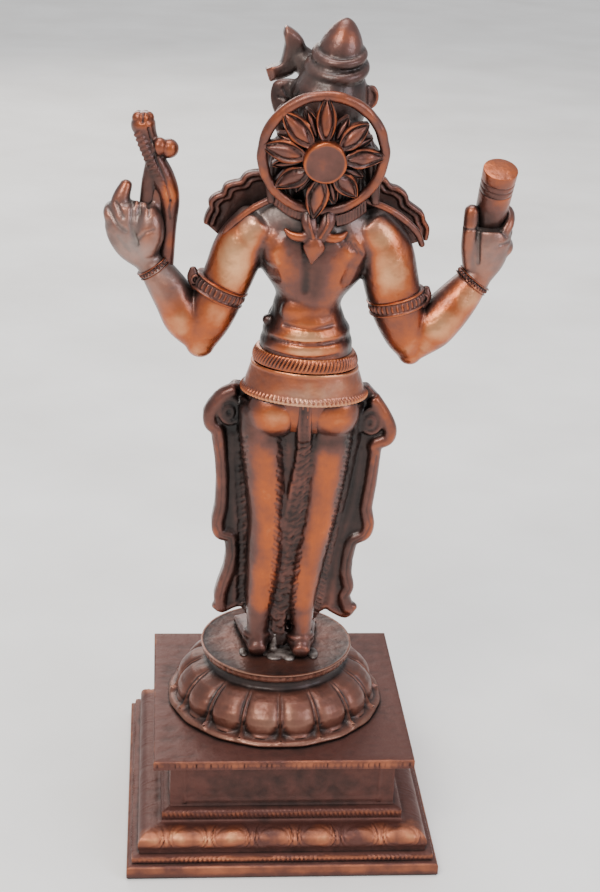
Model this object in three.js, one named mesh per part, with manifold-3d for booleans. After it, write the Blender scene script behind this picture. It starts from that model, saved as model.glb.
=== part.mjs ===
// Shrine figure of a sow-headed goddess on a lotus pedestal and a stepped square plinth.
// Millimetres, +Z up, the plinth's underside on Z = 0. The figure faces -Y and its left side is +X.
import * as THREE from 'three';
import { mergeVertices } from 'three/addons/utils/BufferGeometryUtils.js';
import Module from 'manifold-3d';

const wasm = await Module();
wasm.setup();

// Driving dimensions
const BASE_WIDTH = 78;
const DEPTH_RATIO = 1.03;
const CAP_TOP = 29.7;
const LOTUS_TOP = 45.9;
const LOTUS_X = 0.8;
const PETALS = 16;
const TORUS_MOTIFS = 6;
const MOTIF_PITCH = 10.7;
const BODY_X = -3.8;
const BELT_SLOPE = 0.048;
const HALO_CENTRE = new THREE.Vector3(-5.35, 12, 176.9);
const HALO_RADIUS = 15.1;
const HALO_RING = 1.25;
const HALO_LEAN = THREE.MathUtils.degToRad(10);
const HUB_RADIUS = 4.9;
const HUB_REACH = 5.6;
const HUB_ROOT = 6;
const HALO_PETALS = 8;
const PESTLE_RADIUS = 4.15;
const JOIN_TOLERANCE = 0.2;

// Working directions
const BACKWARD = new THREE.Vector3(0, 1, 0);
const UPWARD = new THREE.Vector3(0, 0, 1);
const TURN = Math.PI * 2;

// A closed geometry becomes a solid that can be joined and cut.
function solid(geometry) {
  const shell = geometry.clone();
  shell.deleteAttribute('normal');
  shell.deleteAttribute('uv');
  const merged = mergeVertices(shell, 1e-4);
  const corners = merged.index.array;
  const triangles = [];
  for (let i = 0; i < corners.length; i += 3) {
    const [a, b, c] = [corners[i], corners[i + 1], corners[i + 2]];
    if (a !== b && b !== c && c !== a) triangles.push(a, b, c);
  }
  const mesh = new wasm.Mesh({
    numProp: 3,
    vertProperties: new Float32Array(merged.attributes.position.array),
    triVerts: new Uint32Array(triangles),
    tolerance: JOIN_TOLERANCE,
  });
  return new wasm.Manifold(mesh);
}

function join(solids) {
  return solids.reduce((all, next) => all.add(next));
}

function meshOf(name, body, material) {
  const { vertProperties, triVerts } = body.getMesh();
  const geometry = new THREE.BufferGeometry();
  geometry.setAttribute('position', new THREE.BufferAttribute(vertProperties, 3));
  geometry.setIndex(new THREE.BufferAttribute(triVerts, 1));
  geometry.computeVertexNormals();
  const mesh = new THREE.Mesh(geometry, material);
  mesh.name = name;
  return mesh;
}

// Rings of points joined into one closed skin, with a fan to a middle point at each end.
function skin(rings, startPoint, endPoint) {
  const sides = rings[0].length;
  const points = [...rings.flat(), startPoint, endPoint];
  const index = [];
  for (let row = 0; row < rings.length - 1; row += 1) {
    for (let i = 0; i < sides; i += 1) {
      const a = row * sides + i;
      const b = row * sides + ((i + 1) % sides);
      index.push(a, b, b + sides, a, b + sides, a + sides);
    }
  }
  const first = points.length - 2;
  const lastRow = (rings.length - 1) * sides;
  for (let i = 0; i < sides; i += 1) {
    const next = (i + 1) % sides;
    index.push(first, next, i);
    index.push(first + 1, lastRow + i, lastRow + next);
  }
  const geometry = new THREE.BufferGeometry().setFromPoints(points);
  geometry.setIndex(index);
  return geometry;
}

// A body through oval sections. A station is [x, y, z, half width, half depth].
function limb(stations, { sides = 8, depthAxis = BACKWARD, startCap = 0.5, endCap = 0.5 } = {}) {
  const centres = stations.map(([x, y, z]) => new THREE.Vector3(x, y, z));
  const rings = stations.map(([, , , halfWidth, halfDepth = halfWidth], k) => {
    const before = centres[Math.max(k - 1, 0)];
    const after = centres[Math.min(k + 1, centres.length - 1)];
    const along = after.clone().sub(before).normalize();
    const across = depthAxis.clone().cross(along).normalize();
    const deep = along.clone().cross(across);
    return Array.from({ length: sides }, (_, i) => {
      const angle = (i / sides) * TURN;
      return centres[k].clone()
        .addScaledVector(across, halfWidth * Math.cos(angle))
        .addScaledVector(deep, halfDepth * Math.sin(angle));
    });
  });
  const last = centres.length - 1;
  const startWay = centres[0].clone().sub(centres[1]).normalize();
  const endWay = centres[last].clone().sub(centres[last - 1]).normalize();
  const startPoint = centres[0].clone().addScaledVector(startWay, startCap * stations[0][3]);
  const endPoint = centres[last].clone().addScaledVector(endWay, endCap * stations[last][3]);
  return solid(skin(rings, startPoint, endPoint));
}

// An oval ball.
function ball([x, y, z], [rx, ry, rz], sides = 8, rows = 5) {
  const geometry = new THREE.SphereGeometry(1, sides, rows);
  geometry.rotateX(Math.PI / 2);
  geometry.scale(rx, ry, rz);
  geometry.translate(x, y, z);
  return solid(geometry);
}

// Stations of a cuff about a limb: out to the cuff's radius, along it, and back in.
function cuffStations([x, y, z], [alongX, alongZ], innerRadius, outerRadius, height) {
  const at = (distance) => [x + alongX * distance, y, z + alongZ * distance];
  return [
    [...at(-height / 2 - 0.2), innerRadius], [...at(-height / 2), outerRadius],
    [...at(height / 2), outerRadius], [...at(height / 2 + 0.2), innerRadius],
  ];
}

// A flat plate with a drawn outline in X and Z, from a front Y to a back Y.
function plate(outline, front, back) {
  const shape = new THREE.Shape(outline.map(([x, z]) => new THREE.Vector2(x, z)));
  const geometry = new THREE.ExtrudeGeometry(shape, { depth: back - front, bevelEnabled: false });
  geometry.rotateX(Math.PI / 2);
  geometry.translate(0, back, 0);
  return solid(geometry);
}

// A round wire ring that faces backward.
function ring([x, y, z], radius, wire, steps = 9) {
  const geometry = new THREE.TorusGeometry(radius, wire, 5, steps);
  geometry.rotateX(Math.PI / 2);
  geometry.translate(x, y, z);
  return solid(geometry);
}

// Plinth: square rings of one profile, [half width, height], with mitred corners.
// Front and back carry a row of egg-shaped leaves along the rounded moulding.
function plinth() {
  const half = BASE_WIDTH / 2;
  const profile = [
    [0, 0], [half - 0.5, 0], [half, 0.5], [half, 3.0], [half - 0.5, 3.5],
    [half - 1.7, 3.5], [half - 1.4, 4.6], [half - 1.7, 5.5],
    [half - 3.2, 5.6], [half - 3.2, 6.6],
    [half - 2.9, 7.6], [half - 3.4, 9.0], [half - 4.8, 10.2], [half - 6.8, 10.9], [half - 8.4, 11.0],
    [half - 8.8, 11.5], [half - 8.8, 13.8], [half - 10.0, 14.2],
    [half - 10.8, 14.6], [half - 10.8, 26.2], [half - 10.0, 26.8],
    [half - 6.9, 27.0], [half - 6.6, 27.3], [half - 6.6, 29.4], [half - 6.9, CAP_TOP], [0, CAP_TOP],
  ];
  const points = profile.map(([radius, height]) => new THREE.Vector2(radius * Math.SQRT2, height));
  const body = new THREE.LatheGeometry(points, 4);
  body.rotateY(Math.PI / 4);
  body.rotateX(Math.PI / 2);
  body.scale(1, DEPTH_RATIO, 1);
  const pieces = [solid(body)];
  for (const turn of [0, Math.PI]) {
    for (let k = 0; k < TORUS_MOTIFS - 1; k += 1) {
      const egg = new THREE.SphereGeometry(1, 8, 4);
      egg.scale(3.9, 3.0, 2.5);
      egg.translate((k - (TORUS_MOTIFS - 2) / 2) * MOTIF_PITCH, (half - 5.4) * DEPTH_RATIO, 8.3);
      egg.rotateZ(turn);
      pieces.push(solid(egg));
    }
  }
  return join(pieces);
}

// Lotus pedestal: a turned shape whose sixteen petals swell between narrow ribs.
function lotusPedestal() {
  const columnsPerPetal = 4;
  const columns = PETALS * columnsPerPetal;
  // Each row is [radius, height, petal swell].
  const profile = [
    [27.4, CAP_TOP, 0.4], [27.2, 31.2, 0.6], [24.6, 31.9, 1.5],
    [24.6, 34.2, 1.9], [22.9, 37.2, 1.7], [20.0, 39.8, 1.0], [17.6, 41.2, 0],
    [17.6, 43.2, 0], [19.6, 43.8, 0], [19.6, LOTUS_TOP, 0],
  ];
  const rings = profile.map(([radius, height, swell]) => Array.from({ length: columns }, (_, i) => {
    const angle = (i / columns) * TURN + Math.PI / 2;
    const swollen = radius + swell * Math.sin(((i % columnsPerPetal) / columnsPerPetal) * Math.PI);
    return new THREE.Vector3(LOTUS_X + swollen * Math.cos(angle), swollen * Math.sin(angle), height);
  }));
  const middle = (height) => new THREE.Vector3(LOTUS_X, 0, height);
  return solid(skin(rings, middle(CAP_TOP), middle(LOTUS_TOP)));
}

function torso() {
  const trunk = limb([
    [-3.0, 1.0, 106, 12.0, 8.0],
    [-3.4, 1.4, 112, 15.0, 9.6],
    [BODY_X, 1.8, 118, 15.4, 10.0],
    [-3.6, 2.0, 124, 13.2, 9.2],
    [-3.8, 2.0, 128.2, 11.6, 8.6],
    [-3.8, 2.2, 129.6, 12.3, 9.2],
    [-3.8, 2.2, 131.4, 10.6, 8.2],
    [-3.8, 2.3, 133.2, 10.7, 8.6],
    [-3.8, 2.4, 135.4, 8.8, 7.4],
    [-3.8, 2.4, 138, 8.2, 7.0],
    [-4.1, 2.4, 141, 8.2, 7.2],
    [-4.5, 2.2, 146, 11.9, 8.6],
    [-4.8, 2.0, 151.5, 15.4, 9.0],
    [-5.0, 1.8, 157, 17.0, 8.4],
    [-5.2, 1.6, 161, 14.6, 7.6],
    [-5.6, 1.2, 164.5, 9.0, 6.6],
    [-6.2, 0.6, 169, 6.4, 6.2],
  ], { sides: 12, startCap: 0, endCap: 0 });
  const belly = ball([BODY_X, -3.4, 132], [8.6, 6.6, 7.0]);
  const breasts = [-10.8, 1.8].map((x) => ball([x, -5.2, 151], [5.2, 5.2, 5.2]));
  const buttocks = [4.7, -10.6].map((x) => ball([x, 6.8, 113.8], [6.0, 6.0, 6.0], 10, 6));
  return [trunk, belly, ...breasts, ...buttocks];
}

// Two hip belts that slope with the hips: [bottom, top, half width and depth below, and above].
function belts() {
  const bands = [
    [115.9, 123.3, 16.9, 11.5, 14.4, 10.5],
    [124.0, 127.2, 14.3, 10.4, 13.3, 9.7],
  ];
  return bands.map(([low, high, widthLow, depthLow, widthHigh, depthHigh]) => {
    const band = limb([
      [0, 1.9, low, widthLow, depthLow],
      [0, 1.9, high, widthHigh, depthHigh],
    ], { sides: 14, startCap: 0, endCap: 0 });
    return band.warp((point) => {
      point[2] += BELT_SLOPE * point[0];
      point[0] += BODY_X;
    });
  });
}

function legsAndFeet() {
  const left = limb([
    [7.6, 4.2, 110, 5.4, 5.4], [7.3, 4.2, 104.7, 5.6, 5.6], [6.2, 4.0, 94, 5.2, 5.4],
    [5.5, 3.8, 83, 4.6, 5.0], [5.8, 3.6, 72, 4.6, 5.2], [6.1, 3.8, 61, 3.9, 4.6],
    [6.1, 5.2, 52.5, 2.7, 3.4], [6.2, 5.6, 48.4, 3.2, 4.2],
  ], { sides: 10, endCap: 0 });
  const right = limb([
    [-8.8, 4.2, 110, 5.6, 5.4], [-8.4, 4.2, 104.7, 5.7, 5.6], [-8.2, 4.0, 94, 5.1, 5.4],
    [-7.7, 3.8, 83, 4.6, 5.0], [-6.4, 3.8, 72, 4.4, 5.2], [-5.2, 4.2, 61, 3.8, 4.6],
    [-5.3, 5.8, 52.5, 2.7, 3.4], [-5.0, 6.6, 48.4, 3.2, 4.2],
  ], { sides: 10, endCap: 0 });
  const feet = [[6.2, 9.0, 7.8], [-4.9, 10.2, -6.6]].map(([heelX, heelY, toeX]) => limb([
    [heelX, heelY, LOTUS_TOP + 2.0, 2.4, 2.0],
    [heelX, heelY - 5, LOTUS_TOP + 2.2, 3.1, 2.2],
    [(heelX + toeX) / 2, heelY - 12, LOTUS_TOP + 1.8, 3.7, 1.8],
    [toeX, heelY - 18, LOTUS_TOP + 1.3, 3.6, 1.3],
  ], { sides: 8, depthAxis: UPWARD, startCap: 0.3, endCap: 0.3 }));
  return [left, right, ...feet];
}

// The skirt between and in front of the legs, with hanging pleats down the middle.
function skirt() {
  const core = limb([
    [0.0, 0.2, 53, 9.5, 3.6], [-0.6, 0.2, 60, 11.5, 4.4], [-1.6, 0.0, 75, 13.0, 5.2],
    [-2.4, -0.2, 90, 14.8, 6.2], [-3.0, 0.0, 104, 16.0, 7.4], [-3.4, 0.6, 114, 16.4, 9.2],
  ], { sides: 10, startCap: 0, endCap: 0 });
  const middlePleat = limb([
    [0.4, 3.4, 47.5, 2.2, 2.4], [0.4, 3.4, 60, 2.4, 2.2], [-0.8, 4.2, 80, 2.6, 2.4],
    [-1.6, 5.4, 100, 2.6, 2.6], [-2.8, 8.4, 117, 1.7, 2.6],
  ], { sides: 8, startCap: 0, endCap: 0 });
  const frontPleats = [-4.6, -1.4, 1.8].map((x) => limb([
    [x * 0.55, -3.4, LOTUS_TOP + 3, 1.5, 1.6],
    [x, -7.2, 114, 1.7, 2.2],
  ], { sides: 6, startCap: 0, endCap: 0 }));
  return [core, middlePleat, ...frontPleats];
}

// Side drapery: sheets with stepped edges and a raised border, and a bow loop at each hip.
const LEFT_DRAPE = [
  [13.3, 117.4], [15.1, 115.6], [17.7, 114.3], [19.6, 111.9], [20.8, 109.6], [20.6, 106.8], [18.8, 104.6],
  [17.7, 97.2], [17.3, 91.5], [17.5, 84.8], [18.3, 80.1], [17.7, 77.0], [14.9, 76.0], [14.5, 71.2],
  [15.0, 67.2], [16.5, 62.6], [17.3, 59.2], [17.0, 55.6], [15.1, 54.3], [12.6, 55.6], [10.5, 56.2], [8.7, 54.6],
];
const RIGHT_DRAPE = [
  [-19.9, 117.0], [-23.0, 113.6], [-25.8, 109.4], [-27.5, 105.6], [-26.9, 103.0], [-24.0, 101.7],
  [-23.8, 98.9], [-23.2, 91.0], [-22.4, 84.2], [-23.2, 79.8], [-22.4, 76.8], [-19.1, 74.8],
  [-18.1, 69.5], [-18.0, 65.8], [-18.8, 61.9], [-17.9, 59.2], [-19.1, 55.2], [-17.0, 52.7],
  [-13.8, 54.1], [-11.5, 55.6], [-10.0, 54.4],
];
function drapery() {
  return [[LEFT_DRAPE, 1, 3.0], [RIGHT_DRAPE, -1, -3.0]].flatMap(([edge, side, inner]) => {
    const sheet = plate([...edge, [inner, 56], [inner, 116]], -2.0, 0.6);
    const within = edge.slice(2, -4).map(([x, z]) => [x - side * 2.4, z]);
    const border = plate([...edge.slice(2, -4), ...within.reverse()], -1.6, 2.6);
    return [sheet, border];
  });
}
function bows() {
  return [
    ring([16.6, 1.6, 110.2], 2.7, 1.5),
    ring([-23.4, 1.6, 107.2], 2.9, 1.5),
  ];
}

// Scalloped collar that stands up behind both shoulders.
const COLLAR_LEFT = [
  [18.0, 154.2], [21.2, 157.0], [21.0, 159.8], [19.4, 161.2], [18.9, 163.8], [16.4, 164.9],
  [15.6, 167.0], [12.4, 167.4], [10.6, 169.2], [7.6, 169.4],
];
const COLLAR_RIGHT = [
  [-19.6, 168.6], [-22.9, 167.2], [-24.4, 165.3], [-27.0, 164.9], [-28.2, 161.9], [-30.9, 160.2],
  [-32.4, 157.2], [-32.6, 153.8], [-29.3, 152.6],
];
function collar() {
  const outline = [[8, 150], ...COLLAR_LEFT, [-6, 170.5], ...COLLAR_RIGHT, [-20, 150]];
  return [plate(outline, -3.4, -0.6)];
}

// Arms. Each list runs from the shoulder down to the elbow, or from the elbow up to the hand.
function arms() {
  const leftUpper = limb([
    [8.5, 2.6, 158, 5.6, 6.2], [13.2, 3.0, 151, 6.2],
    ...cuffStations([17.4, 3.4, 142.2], [0.42, -0.91], 6.0, 6.8, 3.0),
    [20.0, 3.4, 134, 5.3], [21.8, 3.2, 128.4, 3.6],
  ], { sides: 9, endCap: 1.0 });
  const leftLower = limb([
    [21.6, 3.2, 127.4, 2.4], [25.0, 2.6, 133.5, 5.1], [28.0, 2.0, 139.2, 5.0],
    ...cuffStations([32.9, 0.8, 146.4], [0.58, 0.81], 3.7, 4.5, 1.6), [35.0, 0.2, 149.6, 3.4],
  ], { sides: 9, startCap: 1.0 });
  const rightUpper = limb([
    [-17.5, 2.6, 158, 5.8, 6.2], [-22.0, 3.0, 151.5, 6.6],
    ...cuffStations([-25.4, 3.4, 139.4], [-0.26, -0.96], 6.4, 7.1, 3.0),
    [-27.8, 3.4, 130.8, 5.0], [-29.2, 3.2, 126.4, 3.0],
  ], { sides: 9, endCap: 1.0 });
  const rightLower = limb([
    [-29.2, 3.2, 125.8, 2.4], [-33.0, 2.6, 131.4, 5.4], [-37.2, 2.0, 136.0, 5.5],
    ...cuffStations([-43.6, 0.6, 143.8], [-0.62, 0.78], 4.1, 4.8, 1.6), [-45.6, 0.2, 147.6, 3.6],
  ], { sides: 9, startCap: 1.0 });
  const crest = limb([
    [22.4, 3.4, 144.2, 2.0, 1.6], [24.6, 3.4, 146.2, 1.6, 1.2], [25.8, 3.4, 148.4, 0.5, 0.5],
  ], { sides: 6 });
  return [leftUpper, leftLower, rightUpper, rightLower, crest];
}

function finger(points, radius) {
  return limb(points.map(([x, y, z]) => [x, y, z, radius]), { sides: 5, startCap: 0.6, endCap: 0.6 });
}

function hands() {
  const leftPalm = limb([
    [34.4, 0.2, 148.4, 3.6, 3.2], [37.6, 0.0, 152.2, 4.5, 3.6], [40.0, -0.4, 156.4, 4.8, 3.8],
    [40.4, -0.8, 160.0, 3.4, 3.2],
  ]);
  const leftFingers = [
    finger([[43.0, 0.0, 156.8], [44.0, -1.8, 158.4], [37.6, -4.8, 158.2]], 1.7),
    finger([[40.2, -0.4, 160.4], [40.2, -0.8, 163.8], [38.6, -1.4, 166.0]], 1.6),
    finger([[36.2, 1.2, 152.8], [34.6, 1.8, 156.4], [34.4, 1.4, 159.6]], 1.8),
  ];
  const rightPalm = limb([
    [-45.0, 0.2, 146.0, 4.0, 3.4], [-46.4, 0.4, 150.2, 5.2, 4.2], [-47.0, 0.0, 155.4, 5.8, 5.0],
    [-46.8, 0.2, 160.4, 5.2, 4.8],
  ]);
  const rightFingers = [
    finger([[-50.2, 1.6, 152.6], [-52.0, -2.0, 152.8], [-46.0, -6.6, 153.0]], 1.7),
    finger([[-49.8, 3.0, 158.6], [-52.0, -1.4, 160.6], [-46.0, -5.6, 160.2]], 1.7),
    finger([[-42.2, 1.8, 149.6], [-42.0, 2.2, 156.0], [-42.4, 2.0, 161.4]], 1.9),
  ];
  return [leftPalm, ...leftFingers, rightPalm, ...rightFingers];
}

// The plough in the left hand and the pestle in the right.
function attributes() {
  const shaft = limb([
    [35.9, 0.0, 182.2, 2.2], [35.5, 0.0, 180.0, 2.9], [34.3, 0.0, 177.0, 2.3], [33.0, 0.0, 172.4, 2.5],
    [31.0, 0.0, 168.0, 2.9], [29.4, 0.0, 163.2, 2.5], [29.6, 0.2, 156.0, 1.9], [30.0, 0.8, 148.0, 1.7],
  ]);
  const grip = limb([
    [33.0, 0.0, 171.0, 2.2], [34.2, -0.4, 166.0, 1.9], [35.0, -0.8, 159.0, 1.8],
  ], { sides: 6 });
  const knobs = [ball([29.6, 0.4, 175.0], [2.3, 2.3, 2.3]), ball([32.0, 1.2, 175.6], [2.0, 2.2, 2.2])];
  const pestle = limb([
    [-46.6, -5.6, 148.6, PESTLE_RADIUS - 0.6], [-47.7, 5.0, 171.6, PESTLE_RADIUS],
  ], { sides: 14, startCap: 0, endCap: 0 });
  return [shaft, grip, ...knobs, pestle];
}

function head() {
  const skull = limb([
    [-6.2, 1.6, 164.5, 10.0, 5.4], [-6.2, 2.2, 170, 14.0, 6.6], [-6.2, 2.4, 176.5, 13.6, 7.6],
    [-6.4, 1.4, 180.4, 9.8, 8.6], [-6.6, 0.2, 185, 9.2, 8.8], [-6.8, -0.4, 190, 7.6, 7.8],
    [-7.4, -0.4, 192.6, 6.0, 6.2],
  ], { sides: 12, startCap: 0, endCap: 0 });
  const crownProfile = [
    [0, -3], [6.6, -3], [7.7, 0.4], [7.3, 2.0], [6.3, 2.6], [6.7, 3.8], [5.2, 5.2],
    [5.1, 7.4], [3.9, 11.2], [1.7, 14.0], [0, 14.9],
  ].map(([radius, height]) => new THREE.Vector2(radius, height));
  const crown = new THREE.LatheGeometry(crownProfile, 12);
  crown.rotateX(Math.PI / 2);
  crown.rotateY(-THREE.MathUtils.degToRad(9));
  crown.translate(-8.2, -0.6, 191.2);
  const muzzle = limb([
    [-6.0, -3.6, 187.0, 6.4, 6.2], [-3.4, -5.2, 190.6, 4.6, 4.8], [-1.4, -6.4, 194.2, 3.3, 3.8],
    [0.6, -7.2, 195.6, 4.0, 4.2],
  ]);
  const noseEdge = [
    [1.4, 202.0], [2.3, 199.6], [3.0, 196.6], [3.5, 194.4], [4.6, 192.8], [6.5, 191.8], [5.7, 189.7],
    [3.4, 190.4], [0.8, 191.4], [-1.2, 192.2], [-2.0, 196.8], [-1.2, 199.2], [0.4, 201.4],
  ];
  const nose = plate(noseEdge, -11.6, -3.4);
  const leftEar = limb([
    [-3.4, -0.4, 181.6, 3.0, 3.2], [0.6, -0.4, 183.8, 3.6, 2.6], [2.6, -0.6, 187.0, 2.8, 1.8],
    [3.6, -0.8, 189.8, 1.4, 1.0],
  ], { sides: 6 });
  const rightEar = ring([-16.6, 0.2, 186.8], 1.9, 0.95);
  const rightLobe = ball([-15.6, 0.2, 186.8], [2.2, 1.2, 2.4], 6, 4);
  return [skull, solid(crown), muzzle, nose, leftEar, rightEar, rightLobe];
}

// The wheel behind the head, built in its own plane and then leant back into place.
function halo() {
  const wheelRadius = HALO_RADIUS - HALO_RING;
  const rim = new THREE.TorusGeometry(wheelRadius, HALO_RING, 5, 26);
  const hub = new THREE.CylinderGeometry(HUB_RADIUS, HUB_RADIUS, HUB_REACH + HUB_ROOT, 16);
  hub.rotateX(Math.PI / 2);
  hub.translate(0, 0, (HUB_REACH - HUB_ROOT) / 2);
  const shapes = [rim, hub].map(solid);
  for (let k = 0; k < HALO_PETALS; k += 1) {
    const angle = (k / HALO_PETALS) * TURN;
    const petal = limb([
      [HUB_RADIUS - 1.2, 0, HUB_REACH - 2.2, 1.6, 0.9], [7.4, 0, 2.9, 2.5, 1.1], [10.2, 0, 1.6, 2.0, 1.0],
      [wheelRadius, 0, 0.3, 0.6, 0.7],
    ], { sides: 4, depthAxis: UPWARD, startCap: 0, endCap: 0.3 });
    shapes.push(petal.rotate([0, 0, THREE.MathUtils.radToDeg(angle)]));
  }
  const lean = THREE.MathUtils.radToDeg(HALO_LEAN);
  return shapes.map((shape) => shape.rotate([-90 - lean, 0, 0]).translate(HALO_CENTRE.toArray()));
}

// The ribbon that hangs from the wheel to between the shoulder blades.
function ribbon() {
  const strands = [-3.2, -6.6].map((x) => limb([
    [x + 0.2, 10.4, 165.4, 1.5, 1.6], [x, 10.4, 161, 1.4, 1.4], [(x - 4.9) / 2, 10.6, 157, 1.3, 1.2],
  ], { sides: 5 }));
  const curls = [1, -1].map((side) => limb([
    [-4.8 + side * 0.8, 10.8, 157.4, 1.2, 1.1], [-4.6 + side * 3.6, 10.6, 156.8, 1.1, 1.0],
    [-4.4 + side * 6.4, 10.2, 158.8, 0.6, 0.7],
  ], { sides: 5 }));
  const bud = limb([
    [-4.7, 10.4, 158.0, 0.9, 0.8], [-4.4, 10.9, 155.4, 1.9, 1.2], [-4.0, 10.8, 152.0, 0.6, 0.6],
  ], { sides: 6 });
  return [...strands, ...curls, bud];
}

function figure() {
  return join([
    ...torso(), ...belts(), ...legsAndFeet(), ...skirt(), ...drapery(), ...bows(), ...collar(),
    ...arms(), ...hands(), ...attributes(), ...head(), ...halo(), ...ribbon(),
  ]);
}

const copper = (color, roughness) => new THREE.MeshStandardMaterial({ color, roughness, metalness: 1 });

const statue = new THREE.Group();
statue.add(
  meshOf('plinth', plinth(), copper(0x8a5440, 0.42)),
  meshOf('lotus_pedestal', lotusPedestal(), copper(0x7d6250, 0.38)),
  meshOf('figure', figure(), copper(0xa8653a, 0.35)),
);

export default statue;
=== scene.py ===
"""Looks of a cast copper shrine figure: a sow-headed goddess on a lotus pedestal and a stepped plinth.

Shapes are worked out in millimetres and made in metres. The figure faces -Y, its left is +X, +Z is up.
"""
import math

import bpy
import numpy as np
from bpy.props import FloatProperty, FloatVectorProperty, PointerProperty
from mathutils import Matrix, Vector


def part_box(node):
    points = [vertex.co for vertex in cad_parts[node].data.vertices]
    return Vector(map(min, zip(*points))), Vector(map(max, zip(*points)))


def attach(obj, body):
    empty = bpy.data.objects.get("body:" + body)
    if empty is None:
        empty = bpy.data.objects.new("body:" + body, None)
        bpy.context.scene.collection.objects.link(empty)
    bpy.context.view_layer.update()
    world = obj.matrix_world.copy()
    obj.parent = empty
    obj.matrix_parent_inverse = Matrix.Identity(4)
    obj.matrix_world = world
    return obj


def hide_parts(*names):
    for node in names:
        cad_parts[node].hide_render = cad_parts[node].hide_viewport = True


bl_info = {
    "name": "Cast shrine figure",
    "version": (1, 0, 0),
    "blender": (4, 5, 0),
    "location": "3D View > Sidebar > Statue",
    "description": "Builds a patinated copper goddess with wheel halo, lotus pedestal and plinth",
    "category": "Add Mesh",
}

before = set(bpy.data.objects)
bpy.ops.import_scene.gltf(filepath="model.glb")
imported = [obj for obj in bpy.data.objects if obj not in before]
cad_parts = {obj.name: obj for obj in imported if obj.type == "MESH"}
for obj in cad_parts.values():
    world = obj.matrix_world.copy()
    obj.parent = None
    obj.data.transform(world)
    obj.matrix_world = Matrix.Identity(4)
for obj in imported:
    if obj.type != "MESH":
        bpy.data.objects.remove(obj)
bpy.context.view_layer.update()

MM = 0.001
TURN = 2 * math.pi

# Heights and half widths of the castings, from the frame, in millimetres
PLINTH_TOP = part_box("plinth")[1].z / MM
PLINTH_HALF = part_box("plinth")[1].x / MM
PLINTH_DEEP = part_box("plinth")[1].y / MM
LOTUS_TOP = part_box("lotus_pedestal")[1].z / MM
# The pedestal and the hips stand a little off the plinth's middle, and the belts slope
LOTUS_X = 0.8
BODY_X = -3.8
BELT_SLOPE = 0.048
PETALS = 16
PETAL_COLUMNS = 26
BACKWARD = np.array([0.0, 1.0, 0.0])
UPWARD = np.array([0.0, 0.0, 1.0])

# Viewpoint: turned and tipped in radians, place in metres
VIEW_YAW = -0.0856
VIEW_PITCH = 0.3887
VIEW_ROLL = 0.0384
VIEW_PLACE = (0.0317586, 0.4115846, 0.2694764)
VIEW_LENS_MM = 72.18
SENSOR_MM = 36.0


def linear(hex_colour):
    """An sRGB hex colour as linear red, green, blue and alpha."""
    channels = [int(hex_colour[i:i + 2], 16) / 255 for i in (1, 3, 5)]
    return (*(c / 12.92 if c <= 0.04045 else ((c + 0.055) / 1.055) ** 2.4 for c in channels), 1.0)


# Shapes as points and faces

# Limbs, cloth and petals are swept through oval sections, which primitives and modifiers don't give.
# A voxel remesh then joins them, as the wax was joined.

def skin(rings, first, last):
    """Rings of points joined into one closed skin, with a fan to a middle point at each end."""
    sides = len(rings[0])
    points = np.vstack([*rings, [first], [last]])
    faces = []
    for row in range(len(rings) - 1):
        for i in range(sides):
            a = row * sides + i
            b = row * sides + (i + 1) % sides
            faces.append((a, b, b + sides, a + sides))
    start = len(points) - 2
    top = (len(rings) - 1) * sides
    for i in range(sides):
        after = (i + 1) % sides
        faces.append((start, after, i))
        faces.append((start + 1, top + i, top + after))
    return points, faces


def hoop(rings):
    """Rings of points joined end to end into a closed band."""
    sides = len(rings[0])
    count = len(rings)
    faces = []
    for row in range(count):
        for i in range(sides):
            a = row * sides + i
            b = row * sides + (i + 1) % sides
            c = ((row + 1) % count) * sides
            faces.append((a, b, c + (i + 1) % sides, c + i))
    return np.vstack(rings), faces


def curve_through(stations, per_span):
    """A smooth curve through rows of numbers; a station with one half size is round."""
    rows = np.array([list(row) + [row[3]] * (5 - len(row)) for row in stations], float)
    padded = np.vstack([2 * rows[0] - rows[1], rows, 2 * rows[-1] - rows[-2]])
    steps = np.linspace(0, 1, per_span, endpoint=False)[:, None]
    spans = []
    for k in range(len(rows) - 1):
        a, b, c, d = padded[k:k + 4]
        spans.append(0.5 * (2 * b + (c - a) * steps + (2 * a - 5 * b + 4 * c - d) * steps ** 2
                            + (3 * b - a - 3 * c + d) * steps ** 3))
    return np.vstack([*spans, rows[-1:]])


def unit(vectors):
    """Vectors brought to length one."""
    return vectors / np.linalg.norm(vectors, axis=-1, keepdims=True)


def level_ring(angle, wide, deep, height):
    """Points about Z at one height, or at a height each."""
    return np.stack([wide * np.cos(angle), deep * np.sin(angle), np.broadcast_to(height, angle.shape)], 1)


def limb(stations, sides=36, per_span=6, depth_axis=BACKWARD, start_cap=0.5, end_cap=0.5):
    """A body through oval sections [x, y, z, half width, half depth], with domed ends."""
    path = curve_through(stations, per_span)
    centres, halves = path[:, :3], path[:, 3:5]
    along = unit(np.gradient(centres, axis=0))
    across = unit(np.cross(depth_axis, along))
    deep = np.cross(along, across)
    angle = np.linspace(0, TURN, sides, endpoint=False)[:, None]

    def ring(k, scale, shift):
        spread = halves[k, 0] * np.cos(angle) * across[k] + halves[k, 1] * np.sin(angle) * deep[k]
        return centres[k] + along[k] * shift + spread * scale

    rings = [ring(k, 1.0, 0.0) for k in range(len(path))]
    domes = np.radians([20, 40, 60, 78])
    if start_cap:
        reach = start_cap * halves[0, 0]
        rings = [ring(0, math.cos(a), -reach * math.sin(a)) for a in reversed(domes)] + rings
    if end_cap:
        reach = end_cap * halves[-1, 0]
        rings += [ring(-1, math.cos(a), reach * math.sin(a)) for a in domes]
    first = centres[0] - along[0] * start_cap * halves[0, 0]
    last = centres[-1] + along[-1] * end_cap * halves[-1, 0]
    return skin(rings, first, last)


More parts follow.
